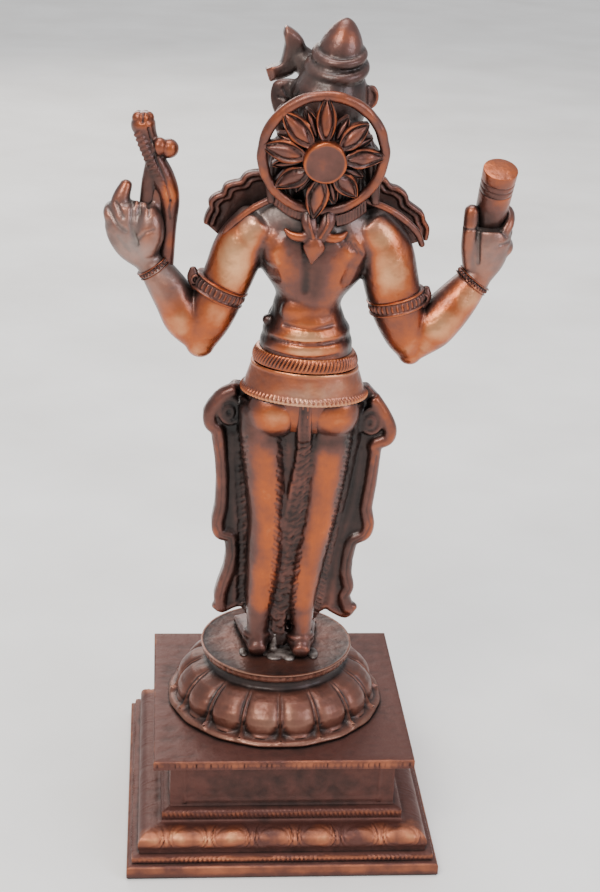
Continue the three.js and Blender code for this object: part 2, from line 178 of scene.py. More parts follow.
def ball(centre, radii, sides=32):
    """An oval ball."""
    rise = np.linspace(-math.pi / 2, math.pi / 2, sides // 2 + 1)[1:-1]
    angle = np.linspace(0, TURN, sides, endpoint=False)
    centre, radii = np.array(centre, float), np.array(radii, float)
    rings = [centre + radii * np.stack([np.cos(angle) * math.cos(r), np.sin(angle) * math.cos(r),
                                        np.full(sides, math.sin(r))], 1) for r in rise]
    return skin(rings, centre - radii * UPWARD, centre + radii * UPWARD)


def plate(outline, front, back):
    """A flat plate with an outline in X and Z."""
    count = len(outline)
    layers = [[(x, y, z) for x, z in outline] for y in (front, back)]
    area = sum(a[0] * b[1] - b[0] * a[1] for a, b in zip(outline, outline[1:] + outline[:1]))
    order = list(range(count)) if area > 0 else list(reversed(range(count)))
    faces = [tuple(order), tuple(i + count for i in reversed(order))]
    for k in range(count):
        a, b = order[k], order[(k + 1) % count]
        faces.append((b, a, a + count, b + count))
    return np.array(layers[0] + layers[1], float), faces


def wire_ring(centre, radius, wire, normal=BACKWARD, steps=48, sides=14, squash=1.0):
    """A round wire ring whose plane faces along a normal; squash flattens it along Z."""
    normal = unit(np.array(normal, float))
    across = unit(np.cross(normal, UPWARD)) if abs(normal[2]) < 0.9 else np.array([1.0, 0.0, 0.0])
    upper = np.cross(across, normal)
    angles = np.linspace(0, TURN, sides, endpoint=False)[:, None]
    rings = []
    for a in np.linspace(0, TURN, steps, endpoint=False):
        out = across * math.cos(a) + upper * math.sin(a) * squash
        middle = np.array(centre) + out * radius
        rings.append(middle + wire * (np.cos(angles) * out + np.sin(angles) * normal))
    return hoop(rings)


def placed(shape, turn, place):
    """A shape turned by a 3 by 3 matrix and then moved."""
    points, faces = shape
    return points @ np.array(turn, float).T + np.array(place, float), faces


# Pieces

def piece(name, shapes):
    """One mesh object from shapes in millimetres."""
    points, faces, count = [], [], 0
    for shape_points, shape_faces in shapes:
        points.append(shape_points)
        faces += [tuple(i + count for i in face) for face in shape_faces]
        count += len(shape_points)
    mesh = bpy.data.meshes.new(name)
    mesh.from_pydata((np.vstack(points) * MM).tolist(), [], faces)
    mesh.update()
    obj = bpy.data.objects.new(name, mesh)
    bpy.context.scene.collection.objects.link(obj)
    return obj


def select_only(obj):
    """Makes an object the only selected one, and the active one."""
    bpy.ops.object.select_all(action="DESELECT")
    obj.select_set(True)
    bpy.context.view_layer.objects.active = obj


def outward(obj):
    """Faces turned to point out of the shape."""
    select_only(obj)
    bpy.ops.object.mode_set(mode="EDIT")
    bpy.ops.mesh.select_all(action="SELECT")
    bpy.ops.mesh.normals_make_consistent(inside=False)
    bpy.ops.object.mode_set(mode="OBJECT")


def fuse(obj, grain_mm, smoothing):
    """Overlapping shapes become one casting of even grain, softened like wax."""
    select_only(obj)
    remesh = obj.modifiers.new("fuse", "REMESH")
    remesh.mode = "VOXEL"
    remesh.voxel_size = grain_mm * MM
    bpy.ops.object.modifier_apply(modifier=remesh.name)
    if smoothing:
        soften = obj.modifiers.new("soften", "SMOOTH")
        soften.factor = 0.5
        soften.iterations = smoothing
        bpy.ops.object.modifier_apply(modifier=soften.name)


def coordinates(obj):
    """An object's points in millimetres, one row each."""
    mesh = obj.data
    points = np.empty(len(mesh.vertices) * 3)
    mesh.vertices.foreach_get("co", points)
    return points.reshape(-1, 3) / MM


def normals(obj):
    """The outward direction at each point of an object."""
    found = np.empty(len(obj.data.vertices) * 3)
    obj.data.vertices.foreach_get("normal", found)
    return found.reshape(-1, 3)


def set_coordinates(obj, points):
    """Moves an object's points to places in millimetres."""
    obj.data.vertices.foreach_set("co", (points * MM).ravel())
    obj.data.update()


def stroke_distance(flat, path):
    """Distance of flat points from a line through path points."""
    best = np.full(len(flat), 1e9)
    for a, b in zip(path[:-1], path[1:]):
        way = b - a
        share = np.clip(((flat - a) @ way) / (way @ way), 0, 1)
        best = np.minimum(best, np.linalg.norm(flat - (a + share[:, None] * way), axis=1))
    return best


def carve(obj, strokes, side=1):
    """Cuts strokes, each (points in X and Z, half width, depth), into the side that faces +Y or -Y."""
    points, facing = coordinates(obj), normals(obj)
    flat = points[:, (0, 2)]
    turned = facing[:, 1] * side > 0.1
    move = np.zeros(len(points))
    for path, width, depth in strokes:
        path = np.array(path, float)
        low, high = path.min(0) - width, path.max(0) + width
        near = np.nonzero(turned & np.all((flat > low) & (flat < high), axis=1))[0]
        gap = stroke_distance(flat[near], path) / width
        move[near] -= depth * np.clip(1 - gap ** 2, 0, 1) ** 1.5
    set_coordinates(obj, points + facing * move[:, None])


def convexity(obj, passes=10):
    """How far each point stands out from the even surface about it, in millimetres."""
    ends = np.empty(len(obj.data.edges) * 2, int)
    obj.data.edges.foreach_get("vertices", ends)
    a, b = ends.reshape(-1, 2).T
    here, there = np.concatenate([a, b]), np.concatenate([b, a])
    points = coordinates(obj)
    share = 1 / np.maximum(np.bincount(here, minlength=len(points)), 1)
    even = points
    for _ in range(passes):
        even = np.stack([np.bincount(here, even[there, axis], len(points)) * share for axis in range(3)], 1)
    return np.sum((points - even) * normals(obj), axis=1)


def nearness(points, centre, radii):
    """One at a spot's centre, falling softly to nothing outside its radii."""
    return np.exp(-np.sum(((points - centre) / radii) ** 2, axis=1))


def wear_and_light(obj, base, bright=(), dull=(), lines=(), edges=0.5, painted_sheen=(), flank_shade=0.0):
    """Stores how far the patina is rubbed off, with painted highlights and painted shade, from 0 to 1, with
    ridges brighter than grooves.

    Spots are (centre, radii, strength); bright spots are rubbed metal and painted highlights, dull spots
    darker patina and painted shade.
    Lines are (points in X and Z, half width, strength) on the back, as rubbed metal and painted light on
    faces turned to the camera.
    Sheen spots are where a painted grey reflection veils the metal. Flank shade is how much painted shade
    lies on faces turned sideways.
    """
    points = coordinates(obj)
    worn = np.full(len(points), float(base))
    # Faces turned to +Y, toward the camera and the key light: there the lines paint light over the rubbed
    # metal
    facing_camera = np.clip(normals(obj)[:, 1] * 1.5 - 0.1, 0, 1)
    for path, width, strength in lines:
        gap = stroke_distance(points[:, (0, 2)], np.array(path, float)) / width
        worn = np.maximum(worn, base + (strength - base) * np.exp(-gap ** 4) * facing_camera)
    for centre, radii, strength in bright:
        worn = np.maximum(worn, base + (strength - base) * nearness(points, centre, radii))
    for centre, radii, strength in dull:
        worn *= 1 - strength * nearness(points, centre, radii)
    worn += np.clip(convexity(obj) * edges, -0.25, 0.22)
    # Painted shade on faces turned sideways from the camera
    worn -= flank_shade * (1 - np.abs(normals(obj)[:, 1])) ** 1.5
    # Share of the painted grey reflection
    sheen_share = np.zeros(len(points))
    for centre, radii, strength in painted_sheen:
        sheen_share = np.maximum(sheen_share, strength * nearness(points, centre, radii))
    for name, values in (("wear_and_light", worn), ("painted_sheen", sheen_share)):
        layer = obj.data.attributes.new(name, "FLOAT", "POINT")
        layer.data.foreach_set("value", values)


def dress(obj, material, node, crease):
    """Finish, smooth shading up to a crease angle in degrees, and place in the frame."""
    obj.data.materials.clear()
    obj.data.materials.append(material)
    select_only(obj)
    bpy.ops.object.shade_smooth_by_angle(angle=math.radians(crease))
    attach(obj, "root")
    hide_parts(node)
    return obj


# Materials

def add(tree, kind, inputs=None, **settings):
    """Adds a node with its settings, and sets or links its inputs."""
    made = tree.nodes.new(kind)
    for name, value in settings.items():
        setattr(made, name, value)
    for name, value in (inputs or {}).items():
        if isinstance(value, bpy.types.NodeSocket):
            tree.links.new(value, made.inputs[name])
        else:
            made.inputs[name].default_value = value
    return made


def blank_material(name):
    """A material whose node tree is empty."""
    material = bpy.data.materials.new(name)
    material.use_nodes = True
    material.node_tree.nodes.clear()
    return material


def patinated_copper(name, stops, sheen_grey, rough, coat, least_metal, shade_reach_mm):
    """Cast copper alloy with a brown patina, rubbed back to metal on the high places, with painted
    highlights, painted shade and a painted grey reflection.

    Stops are (wear, colour) from the deepest patina and painted shade to the most worn metal and painted
    highlight. Rough is the roughness of patina and of metal, and the shade reach is how far from a fold the
    colour darkens, as patina in the hollows and as painted shade.
    """
    material = blank_material(name)
    tree = material.node_tree
    place = add(tree, "ShaderNodeTexCoord").outputs["Object"]
    # How far the patina is rubbed off, with painted highlights and painted shade in it
    worn = add(tree, "ShaderNodeAttribute", attribute_name="wear_and_light").outputs["Fac"]
    # Ambient occlusion, from this piece and the others, darkens the colour where surfaces hem a place in:
    # patina in the hollows and painted shade
    occlusion_shade = add(tree, "ShaderNodeAmbientOcclusion", {"Distance": shade_reach_mm * MM}, samples=8)
    # Clouds of patina about 12 mm across, dents of the wax about 3 mm and grain about 0.7 mm across
    clouds = add(tree, "ShaderNodeTexNoise", {"Vector": place, "Scale": 85.0, "Detail": 5.0}).outputs["Fac"]
    dents = add(tree, "ShaderNodeTexNoise", {"Vector": place, "Scale": 330.0, "Detail": 2.0}).outputs["Fac"]
    grain = add(tree, "ShaderNodeTexNoise", {"Vector": place, "Scale": 1400.0,
                                             "Detail": 3.0}).outputs["Fac"]
    unshaded_share = add(tree, "ShaderNodeMapRange", {
        "Value": occlusion_shade.outputs["AO"], "From Min": 0.2, "From Max": 0.95, "To Min": 0.28, "To Max": 1.0,
    }, interpolation_type="SMOOTHSTEP").outputs["Result"]
    stain = add(tree, "ShaderNodeMapRange", {
        "Value": clouds, "From Min": 0.3, "From Max": 0.7, "To Min": -0.08, "To Max": 0.08,
    }).outputs["Result"]
    fleck = add(tree, "ShaderNodeMapRange", {
        "Value": dents, "From Min": 0.3, "From Max": 0.7, "To Min": -0.05, "To Max": 0.05,
    }).outputs["Result"]
    mottle = add(tree, "ShaderNodeMath", {0: stain, 1: fleck}, operation="ADD").outputs[0]
    level = add(tree, "ShaderNodeMath", {0: worn, 1: unshaded_share, 2: mottle}, operation="MULTIPLY_ADD",
                use_clamp=True).outputs[0]
    ramp = add(tree, "ShaderNodeValToRGB", {"Fac": level})
    elements = ramp.color_ramp.elements
    while len(elements) < len(stops):
        elements.new(0.5)
    for element, (position, colour) in zip(elements, stops):
        element.position = position
        element.color = colour
    patches = add(tree, "ShaderNodeMapRange", {
        "Value": clouds, "From Min": 0.36, "From Max": 0.62, "To Min": 0.15, "To Max": 1.0,
    }).outputs["Result"]
    # A painted grey reflection of the pale surroundings, broken into patches by the clouds
    painted_sheen = add(tree, "ShaderNodeAttribute", attribute_name="painted_sheen").outputs["Fac"]
    share = add(tree, "ShaderNodeMath", {0: painted_sheen, 1: patches}, operation="MULTIPLY").outputs[0]
    # Inputs 6 and 7 and output 2 are the colour sockets of the mix
    with_sheen = add(tree, "ShaderNodeMix", {0: share, 6: ramp.outputs["Color"], 7: sheen_grey},
                 data_type="RGBA").outputs[2]
    bare = add(tree, "ShaderNodeMapRange", {
        "Value": level, "From Min": 0.2, "From Max": 0.7, "To Min": least_metal, "To Max": 0.95,
    }).outputs["Result"]
    roughness = add(tree, "ShaderNodeMapRange", {
        "Value": level, "From Min": 0.1, "From Max": 0.9, "To Min": rough[0], "To Max": rough[1],
    }).outputs["Result"]
    speckled = add(tree, "ShaderNodeMath", {0: grain, 1: 0.12, 2: roughness},
                   operation="MULTIPLY_ADD").outputs[0]
    small_bump = add(tree, "ShaderNodeBump", {"Height": grain, "Strength": 0.3, "Distance": 0.00012})
    dent_bump = add(tree, "ShaderNodeBump", {
        "Height": dents, "Strength": 0.5, "Distance": 0.0005, "Normal": small_bump.outputs["Normal"],
    })
    bump = add(tree, "ShaderNodeBump", {
        "Height": clouds, "Strength": 0.4, "Distance": 0.0007, "Normal": dent_bump.outputs["Normal"],
    })
    shader = add(tree, "ShaderNodeBsdfPrincipled", {
        "Base Color": with_sheen, "Metallic": bare, "Roughness": speckled,
        "Normal": bump.outputs["Normal"], "Coat Weight": coat, "Coat Roughness": 0.24,
        "Coat Normal": bump.outputs["Normal"],
    })
    add(tree, "ShaderNodeOutputMaterial", {"Surface": shader.outputs["BSDF"]})
    return material


def figure_copper(colours):
    # Buffed copper: orange metal on the backs of the limbs, purple brown elsewhere, near black in the folds
    # as patina and painted shade, palest in painted highlights
    return patinated_copper("buffed_patinated_copper", [
        (0.0, colours.soot), (0.22, colours.umber), (0.46, colours.brown), (0.68, colours.copper),
        (1.0, colours.pale_copper),
    ], colours.sheen_grey, rough=(0.42, 0.26), coat=0.4, least_metal=0.8, shade_reach_mm=5.0)


def pedestal_bronze(colours):
    # Dark bronze with the petals rubbed to a greyish sheen
    return patinated_copper("dark_patinated_bronze", [
        (0.0, colours.soot), (0.25, colours.umber), (0.55, colours.bronze), (1.0, colours.pale_bronze),
    ], colours.sheen_grey, rough=(0.46, 0.32), coat=0.2, least_metal=0.55, shade_reach_mm=3.0)


def plinth_copper(colours):
    # Satin red-brown lacquered copper, bright where the rounded moulding is handled, with painted
    # highlights along its crest and edges
    return patinated_copper("red_brown_patinated_copper", [
        (0.0, colours.soot), (0.22, colours.umber), (0.42, colours.red_brown), (0.58, colours.red_brown),
        (0.8, colours.rose_copper), (1.0, colours.pale_copper),
    ], colours.sheen_grey, rough=(0.6, 0.4), coat=0.1, least_metal=0.55, shade_reach_mm=3.0)


def soft_solder(colours):
    # Tin-lead solder: dull grey, lumpy, a little shinier where it flowed
    material = blank_material("tin_lead_solder")
    tree = material.node_tree
    place = add(tree, "ShaderNodeTexCoord").outputs["Object"]
    flow = add(tree, "ShaderNodeTexNoise", {"Vector": place, "Scale": 500.0, "Detail": 4.0}).outputs["Fac"]
    ramp = add(tree, "ShaderNodeValToRGB", {"Fac": flow})
    ramp.color_ramp.elements[0].position = 0.35
    ramp.color_ramp.elements[0].color = colours.umber
    ramp.color_ramp.elements[1].position = 0.65
    ramp.color_ramp.elements[1].color = colours.solder
    bump = add(tree, "ShaderNodeBump", {"Height": flow, "Strength": 0.5, "Distance": 0.0004})
    shader = add(tree, "ShaderNodeBsdfPrincipled", {
        "Base Color": ramp.outputs["Color"], "Metallic": 0.7, "Roughness": 0.48,
        "Normal": bump.outputs["Normal"],
    })
    add(tree, "ShaderNodeOutputMaterial", {"Surface": shader.outputs["BSDF"]})
    return material


def studio_floor(colours):
    # Matt painted board, pale and plain
    material = blank_material("matt_painted_board")
    tree = material.node_tree
    place = add(tree, "ShaderNodeTexCoord").outputs["Object"]
    mottle = add(tree, "ShaderNodeTexNoise", {"Vector": place, "Scale": 14.0, "Detail": 6.0}).outputs["Fac"]
    ramp = add(tree, "ShaderNodeValToRGB", {"Fac": mottle})
    ramp.color_ramp.elements[0].position = 0.3
    ramp.color_ramp.elements[0].color = colours.floor_shade
    ramp.color_ramp.elements[1].position = 0.7
    ramp.color_ramp.elements[1].color = colours.floor
    shader = add(tree, "ShaderNodeBsdfPrincipled", {"Base Color": ramp.outputs["Color"], "Roughness": 0.75})
    add(tree, "ShaderNodeOutputMaterial", {"Surface": shader.outputs["BSDF"]})
    return material


# Plinth

# Pitches along a side of what repeats on the mouldings, half the dado's panel, and columns per side
LEAF_PITCH = 10.7
BEAD_PITCH = 1.15
CORD_PITCH = 1.12
SCROLL_PITCH = 8.4
PANEL_HALF = 24.5
SIDE_COLUMNS = 220
# Middles of the leaves that hands have rubbed bright, along X
WORN_LEAVES = (-32, -25, -9, -2, 12, 19, 26, 32)


def bell(x, width):
    """A soft hump of half width at zero."""
    return np.clip(1 - (x / width) ** 2, 0, 1) ** 1.5


def pulse(x, pitch, width):
    """A row of soft humps, one each pitch."""
    return bell((x + pitch / 2) % pitch - pitch / 2, width)


def leaf_moulding(s, t):
    """Relief of the rounded moulding: broad low leaves between pairs of curved ribs."""
    x = np.abs((s - 3.0 + LEAF_PITCH / 2) % LEAF_PITCH - LEAF_PITCH / 2)
    waist = 0.5 + 5.0 * (t - 0.5) ** 2
    groove = -0.28 * bell(x - waist, 0.32) - 0.14 * bell(x - waist - 1.0, 0.3)
    rib = 0.24 * bell(x - waist - 0.5, 0.4)
    dart = 0.4 * bell(x, 0.4 + 0.5 * t) * np.clip(1 - t * 1.8, 0, 1)
    reach = np.sqrt(((x - LEAF_PITCH / 2) / 3.6) ** 2 + ((t - 0.45) / 0.4) ** 2)
    leaf = 0.16 * np.clip(1 - reach ** 2, 0, 1) ** 0.5 - 0.09 * bell(reach - 1.05, 0.12)
    return (groove + rib + dart + leaf) * np.clip(t * 6, 0, 1) * np.clip((1 - t) * 6, 0, 1)


def plinth_rows():
    """Profile rows of the plinth, upward: (half width, height, kind of relief, place within it)."""
    rows = []

    def plain(*places):
        rows.extend((PLINTH_HALF - inset, height, "", 0) for inset, height in places)

    def worked(kind, inset, low, rise, steps):
        rows.extend((PLINTH_HALF - inset, low + rise * t, kind, t) for t in steps)

    # Bottom slab and its beaded line
    plain((0.9, 0.0), (0.3, 0.15), (0, 0.7), (0, 2.9), (0.25, 3.35), (0.8, 3.5), (1.7, 3.6), (1.9, 3.9))
    rows.append((PLINTH_HALF - 1.35, 4.1, "bead", 0.1))
    worked("bead", 1.35, 4.1, 1.3, np.linspace(0.1, 0.9, 6))
    plain((1.9, 5.45), (2.4, 5.6), (3.1, 5.65), (3.2, 6.5))
    # Rounded moulding
    for t in np.linspace(0, 1, 26):
        angle = t * math.pi * 0.62 - 0.32
        out = max(math.cos(angle), 0) ** 0.8
        rows.append((PLINTH_HALF - 7.6 + 4.8 * out, 7.9 + 3.1 * math.sin(angle), "leaf", t))
    # Corded fillet and dado
    plain((8.5, 11.05), (8.75, 11.35))
    rows.append((PLINTH_HALF - 8.8, 11.6, "cord", 0.0))
    worked("cord", 8.8, 11.6, 2.2, np.linspace(0.1, 0.95, 8))
    plain((9.4, 14.1), (10.6, 14.3), (10.8, 14.7))
    worked("dado", 10.8, 14.9, 11.0, np.linspace(0, 1, 22))
    # Cap slab with its notched edge
    plain((10.7, 26.2), (10.0, 26.6), (8.0, 26.95), (7.0, 27.1))
    rows.append((PLINTH_HALF - 6.6, 27.35, "edge", 0.02))
    worked("edge", 6.6, 27.4, 1.7, np.linspace(0.08, 0.94, 8))
    plain((6.55, PLINTH_TOP - 0.35), (6.75, PLINTH_TOP - 0.08), (7.2, PLINTH_TOP), (9.0, PLINTH_TOP),
          (14.0, PLINTH_TOP - 0.05), (24.0, PLINTH_TOP))
    return rows


def plinth_relief(kind, t, s, side, notches):
    """How far the plinth's face stands out at a place along a side."""
    swell = math.sin(math.pi * t)
    if kind == "bead":
        worn = 0.45 + 0.55 * np.sin(s * 0.13 + side + 1.2) ** 2
        return 0.48 * pulse(s, BEAD_PITCH, 0.5) * swell * worn
    if kind == "cord":
        return 0.3 * pulse(s + 0.5 * (t - 0.5), CORD_PITCH, 0.5) * swell ** 0.7
    if kind == "leaf":
        return leaf_moulding(s, t) * (0.75 if side % 2 == 0 else 0.2)
    if kind == "edge":
        return -0.36 * notches(s + 37 * side) * swell ** 0.5
    if kind == "dado":
        panel = 0.18 * bell((t - 0.09) * 11, 0.6) + 0.18 * bell((t - 0.92) * 11, 0.6)
        reach = np.hypot((s + SCROLL_PITCH / 2) % SCROLL_PITCH - SCROLL_PITCH / 2, (t - 0.5) * 11)
        scroll = 0.07 * bell(reach - 3.2, 0.6) + 0.06 * bell(reach - 1.2, 0.6)
        return (panel + scroll) * (np.abs(s) < PANEL_HALF) + 0.22 * bell(np.abs(s) - PANEL_HALF, 0.6)
    return np.zeros_like(s)


def make_plinth(colours):
    """The stepped square plinth, its mouldings worn and its cap edge notched by hand."""
    rng = np.random.default_rng(7)
    marks = np.cumsum(rng.uniform(0.75, 1.9, 260)) - 120
    depths = rng.uniform(0.45, 1.0, 260)

    def notches(s):
        near = np.clip(np.searchsorted(marks, s), 1, len(marks) - 1)
        left, right = marks[near - 1], marks[near]
        cut_left = bell(s - left, 0.3) * depths[near - 1]
        cut_right = bell(right - s, 0.3) * depths[near]
        return np.maximum(cut_left, cut_right)

    spread = np.linspace(-1, 1, SIDE_COLUMNS, endpoint=False)
    rings = []
    rows = plinth_rows()
    for row, (half, height, kind, t) in enumerate(rows):
        before, after = rows[max(row - 1, 0)], rows[min(row + 1, len(rows) - 1)]
        rise, run = after[1] - before[1], before[0] - after[0]
        steep = math.hypot(rise, run) or 1.0
        out, up = rise / steep, run / steep
        ring = []
        for side in range(4):
            s = spread * half
            raised = plinth_relief(kind, t, s, side, notches) * np.clip((half - np.abs(s)) / 1.2, 0, 1)
            turn = side * math.pi / 2
            # Sides run anticlockwise seen from above, the +Y face first
            outer = half + raised * out
            x = -s * math.cos(turn) - outer * math.sin(turn)
            y = -s * math.sin(turn) + outer * math.cos(turn)
            ring.append(np.stack([x, y * PLINTH_DEEP / PLINTH_HALF, height + raised * up], 1))
        rings.append(np.vstack(ring))
    shape = skin(rings, (0, 0, 0), (0, 0, PLINTH_TOP))
    obj = piece("plinth_casting", [shape])
    outward(obj)
    # Handled leaves; rubbed metal with painted highlights along the rounded moulding's crest and the edges
    # of the cap, the fillet and the slab; a slightly darker top, and painted shade in the recessed dado
    bright = []
    dull = [((0, 0, PLINTH_TOP), (60, 60, 0.8), 0.15)]
    for side in (1, -1):
        bright += [((x, side * 37, 9.6), (5.5, 6, 2.2), 0.82) for x in WORN_LEAVES]
        bright += [((0, side * 37, 9.6), (40, 5, 1.6), 0.6), ((0, side * 39, 4.8), (60, 2.5, 0.8), 0.74)]
        bright += [((0, side * y, z), (60, 1.6, 0.9), 0.74) for y, z in ((33.6, 28.5), (31.6, 12.9))]
        dull.append(((0, side * 30, 20), (30, 4, 6.5), 0.42))
    wear_and_light(obj, 0.46, bright, dull, edges=0.15)
    return dress(obj, plinth_copper(colours), "plinth", crease=50)


# Lotus pedestal

def lotus_relief(share, t):
    """Relief of a petal: share runs -0.5 to 0.5 across it, t from the lip at 0 to the neck at 1."""
    tip = math.sqrt(max(1 - ((0.5 - t) / 0.33) ** 2, 0)) if t < 0.5 else 1.0
    edge = max(0.425 * tip, 1e-3)
    fade = min(max((1.0 - t) / 0.22, 0), 1)
    inside = np.clip(1 - (np.abs(share) / edge) ** 2.6, 0, 1) ** 0.5
    dome = 1.25 * inside * tip * fade
    ridge = 0.75 * bell(np.abs(share) - 0.5, 0.042) * fade * (t > 0.16)
    flare = 0.75 * bell(np.abs(share) - 0.5, 0.05 + 0.34 * max(0.36 - t, 0)) * bell(t - 0.2, 0.2)
    lip = 0.55 * bell(t - 0.05, 0.08) * (0.55 + 0.45 * np.cos(share * TURN))
    line = 0.3 * bell(np.abs(share) - edge - 0.02, 0.03) * fade * (tip > 0)
    return dome + ridge + flare + lip + line


def make_lotus(colours):
    """The down-turned lotus with its flat disc, as one turned ring of petals."""
    columns = PETALS * PETAL_COLUMNS
    index = np.arange(columns)
    angle = index / columns * TURN + math.pi / 2
    share = (index % PETAL_COLUMNS) / PETAL_COLUMNS
    share = np.where(share > 0.5, share - 1, share)
    across = np.where(share >= 0, 0.5 - share, -0.5 - share)
    # Petal profile from the lip up to the neck: (radius, height over the plinth)
    base = [(27.3, 0.0), (27.7, 0.7), (27.2, 1.35), (25.9, 1.75), (24.9, 2.3), (24.75, 3.4), (24.5, 4.8),
            (23.9, 6.3), (22.8, 7.8), (21.2, 9.3), (19.4, 10.5), (18.0, 11.3)]
    base = np.array(base)
    length = np.concatenate([[0], np.cumsum(np.linalg.norm(np.diff(base, axis=0), axis=1))])
    length /= length[-1]
    middle = np.array([LOTUS_X, 0, 0])
    rings = []
    for t in np.linspace(0, 1, 54):
        radius = np.interp(t, length, base[:, 0])
        height = np.interp(t, length, base[:, 1])
        swell = lotus_relief(across, t)
        out = radius + swell * (0.95 if t > 0.1 else 0.7)
        rings.append(level_ring(angle, out, out, PLINTH_TOP + height + swell * 0.3 * (t > 0.1)) + middle)
    rng = np.random.default_rng(3)
    wobble = np.convolve(rng.normal(0, 1, columns), np.ones(9) / 9, "same") * 0.12
    hatch = pulse(index, 6.5, 2.2) * (0.6 + 0.4 * np.sin(index * 0.21))
    top = LOTUS_TOP
    # Neck and disc: (radius, height, share of the rim's hatching, share of its ragged edge)
    rows = [(17.6, top - 4.3, 0, 0), (17.5, top - 3.2, 0, 0), (17.7, top - 2.6, 0, 0),
            (18.6, top - 2.4, 0.2, 0), (19.1, top - 2.1, 0.6, 0.2), (19.2, top - 1.5, 1, 0.3),
            (19.25, top - 0.9, 1, 0.3), (19.3, top - 0.55, 0.3, 0.6), (19.55, top - 0.35, 0, 1),
            (19.5, top - 0.08, 0, 1), (19.2, top, 0, 1), (18.9, top - 0.1, 0, 0.6),
            (18.6, top - 0.16, 0, 0), (12.0, top - 0.14, 0, 0), (6.0, top - 0.12, 0, 0)]
    for radius, height, hatched, ragged in rows:
        out = radius - 0.3 * hatched * hatch + ragged * wobble * 0.35
        rings.append(level_ring(angle, out, out, height) + middle)
    shape = skin(rings, (LOTUS_X, 0, PLINTH_TOP), (LOTUS_X, 0, top - 0.12))
    obj = piece("lotus_pedestal_casting", [shape])
    outward(obj)
    wear_and_light(obj, 0.42, bright=[((0.8, 24, 36), (15, 9, 4), 0.62), ((0.8, -24, 36), (15, 9, 4), 0.62),
                           ((0.8, 0, 46), (40, 40, 0.8), 0.56)], edges=0.8)
    return dress(obj, pedestal_bronze(colours), "lotus_pedestal", crease=60)


# The figure's body

# Limbs as stations [x, y, z, half width, half depth], from the body outward
LEFT_LEG = [[6.8, 4.2, 112, 5.4, 5.4], [6.2, 4.2, 104.7, 5.6, 5.6], [5.2, 4.0, 94, 5.2, 5.4],
            [4.5, 3.8, 83, 4.6, 5.0], [4.6, 3.6, 72, 4.6, 5.2], [5.4, 3.8, 61, 3.9, 4.6],
            [6.1, 5.2, 52.5, 2.7, 3.4], [6.2, 5.6, 48.4, 3.2, 4.2]]
RIGHT_LEG = [[-10.4, 4.2, 112, 5.6, 5.4], [-10.4, 4.2, 104.7, 5.7, 5.6], [-9.8, 4.0, 94, 5.1, 5.4],
             [-8.5, 3.8, 83, 4.6, 5.0], [-6.4, 3.8, 72, 4.4, 5.2], [-5.0, 4.2, 61, 3.8, 4.6],
             [-5.3, 5.8, 52.5, 2.7, 3.4], [-5.0, 6.6, 48.4, 3.2, 4.2]]
BREASTS_X = (-10.8, 1.8)
BUTTOCKS_X = (3.9, -10.7)
# Outer edges of the side cloth in X and Z, from the hip down to the hem
LEFT_DRAPE = [(13.3, 117.4), (15.1, 115.6), (17.7, 114.3), (19.6, 111.9), (20.8, 109.6), (20.6, 106.8),
              (18.8, 104.6), (17.7, 97.2), (17.3, 91.5), (17.5, 84.8), (18.3, 80.1), (17.7, 77.0),
              (14.9, 76.0), (14.5, 71.2), (15.0, 67.2), (16.5, 62.6), (17.3, 59.2), (17.0, 55.6),
              (15.1, 54.3), (12.6, 55.6), (10.5, 56.2), (8.7, 54.6)]
RIGHT_DRAPE = [
    (-19.9, 117.0), (-23.0, 113.6), (-25.8, 109.4), (-27.5, 105.6), (-26.9, 103.0), (-24.0, 101.7),
    (-23.8, 98.9), (-23.2, 91.0), (-22.4, 84.2), (-23.2, 79.8), (-22.4, 76.8), (-19.1, 74.8),
    (-18.1, 69.5), (-18.0, 65.8), (-18.8, 61.9), (-17.9, 59.2), (-19.1, 55.2), (-17.0, 52.7),
    (-13.8, 54.1), (-11.5, 55.6), (-10.0, 54.4),
]
# Soft folds of the side cloth between its border and the leg
FOLDS = (
    ((13.4, 104), (13.0, 90), (11.8, 76), (12.0, 62), (11.6, 57)),
    ((-18.4, 100), (-17.6, 88), (-15.0, 75), (-13.4, 64), (-13.0, 57)),
    ((-15.2, 104), (-14.0, 88), (-12.2, 75), (-10.6, 62)),
)
LEFT_UPPER_ARM = [[8.5, 2.6, 158, 5.6, 6.2], [12.6, 3.0, 152.5, 6.2], [15.0, 3.2, 146.5, 6.0],
                  [17.3, 3.4, 140.7, 5.8], [20.0, 3.4, 134, 5.3], [21.8, 3.2, 128.4, 3.6]]
LEFT_FOREARM = [[21.6, 3.2, 127.4, 2.4], [25.0, 2.6, 133.5, 5.1], [28.0, 2.0, 139.2, 5.0],
                [31.2, 1.2, 144.0, 4.3], [33.7, 0.4, 147.3, 3.5], [35.0, 0.2, 149.6, 3.4]]
RIGHT_UPPER_ARM = [[-17.5, 2.6, 158, 5.8, 6.2], [-21.6, 3.0, 152.5, 6.6], [-23.5, 3.2, 145, 6.7],
                   [-25.4, 3.4, 138, 6.3], [-27.8, 3.4, 130.8, 5.0], [-29.2, 3.2, 126.4, 3.0]]
RIGHT_FOREARM = [[-29.2, 3.2, 125.8, 2.4], [-33.0, 2.6, 131.4, 5.4], [-37.2, 2.0, 136.0, 5.5],
                 [-41.2, 1.2, 140.6, 4.8], [-44.4, 0.4, 144.8, 3.8], [-45.6, 0.2, 147.6, 3.6]]


def finger(points, radius):
    """A round finger through points."""
    return limb([(*point, radius) for point in points], sides=20, start_cap=0.9, end_cap=0.9)


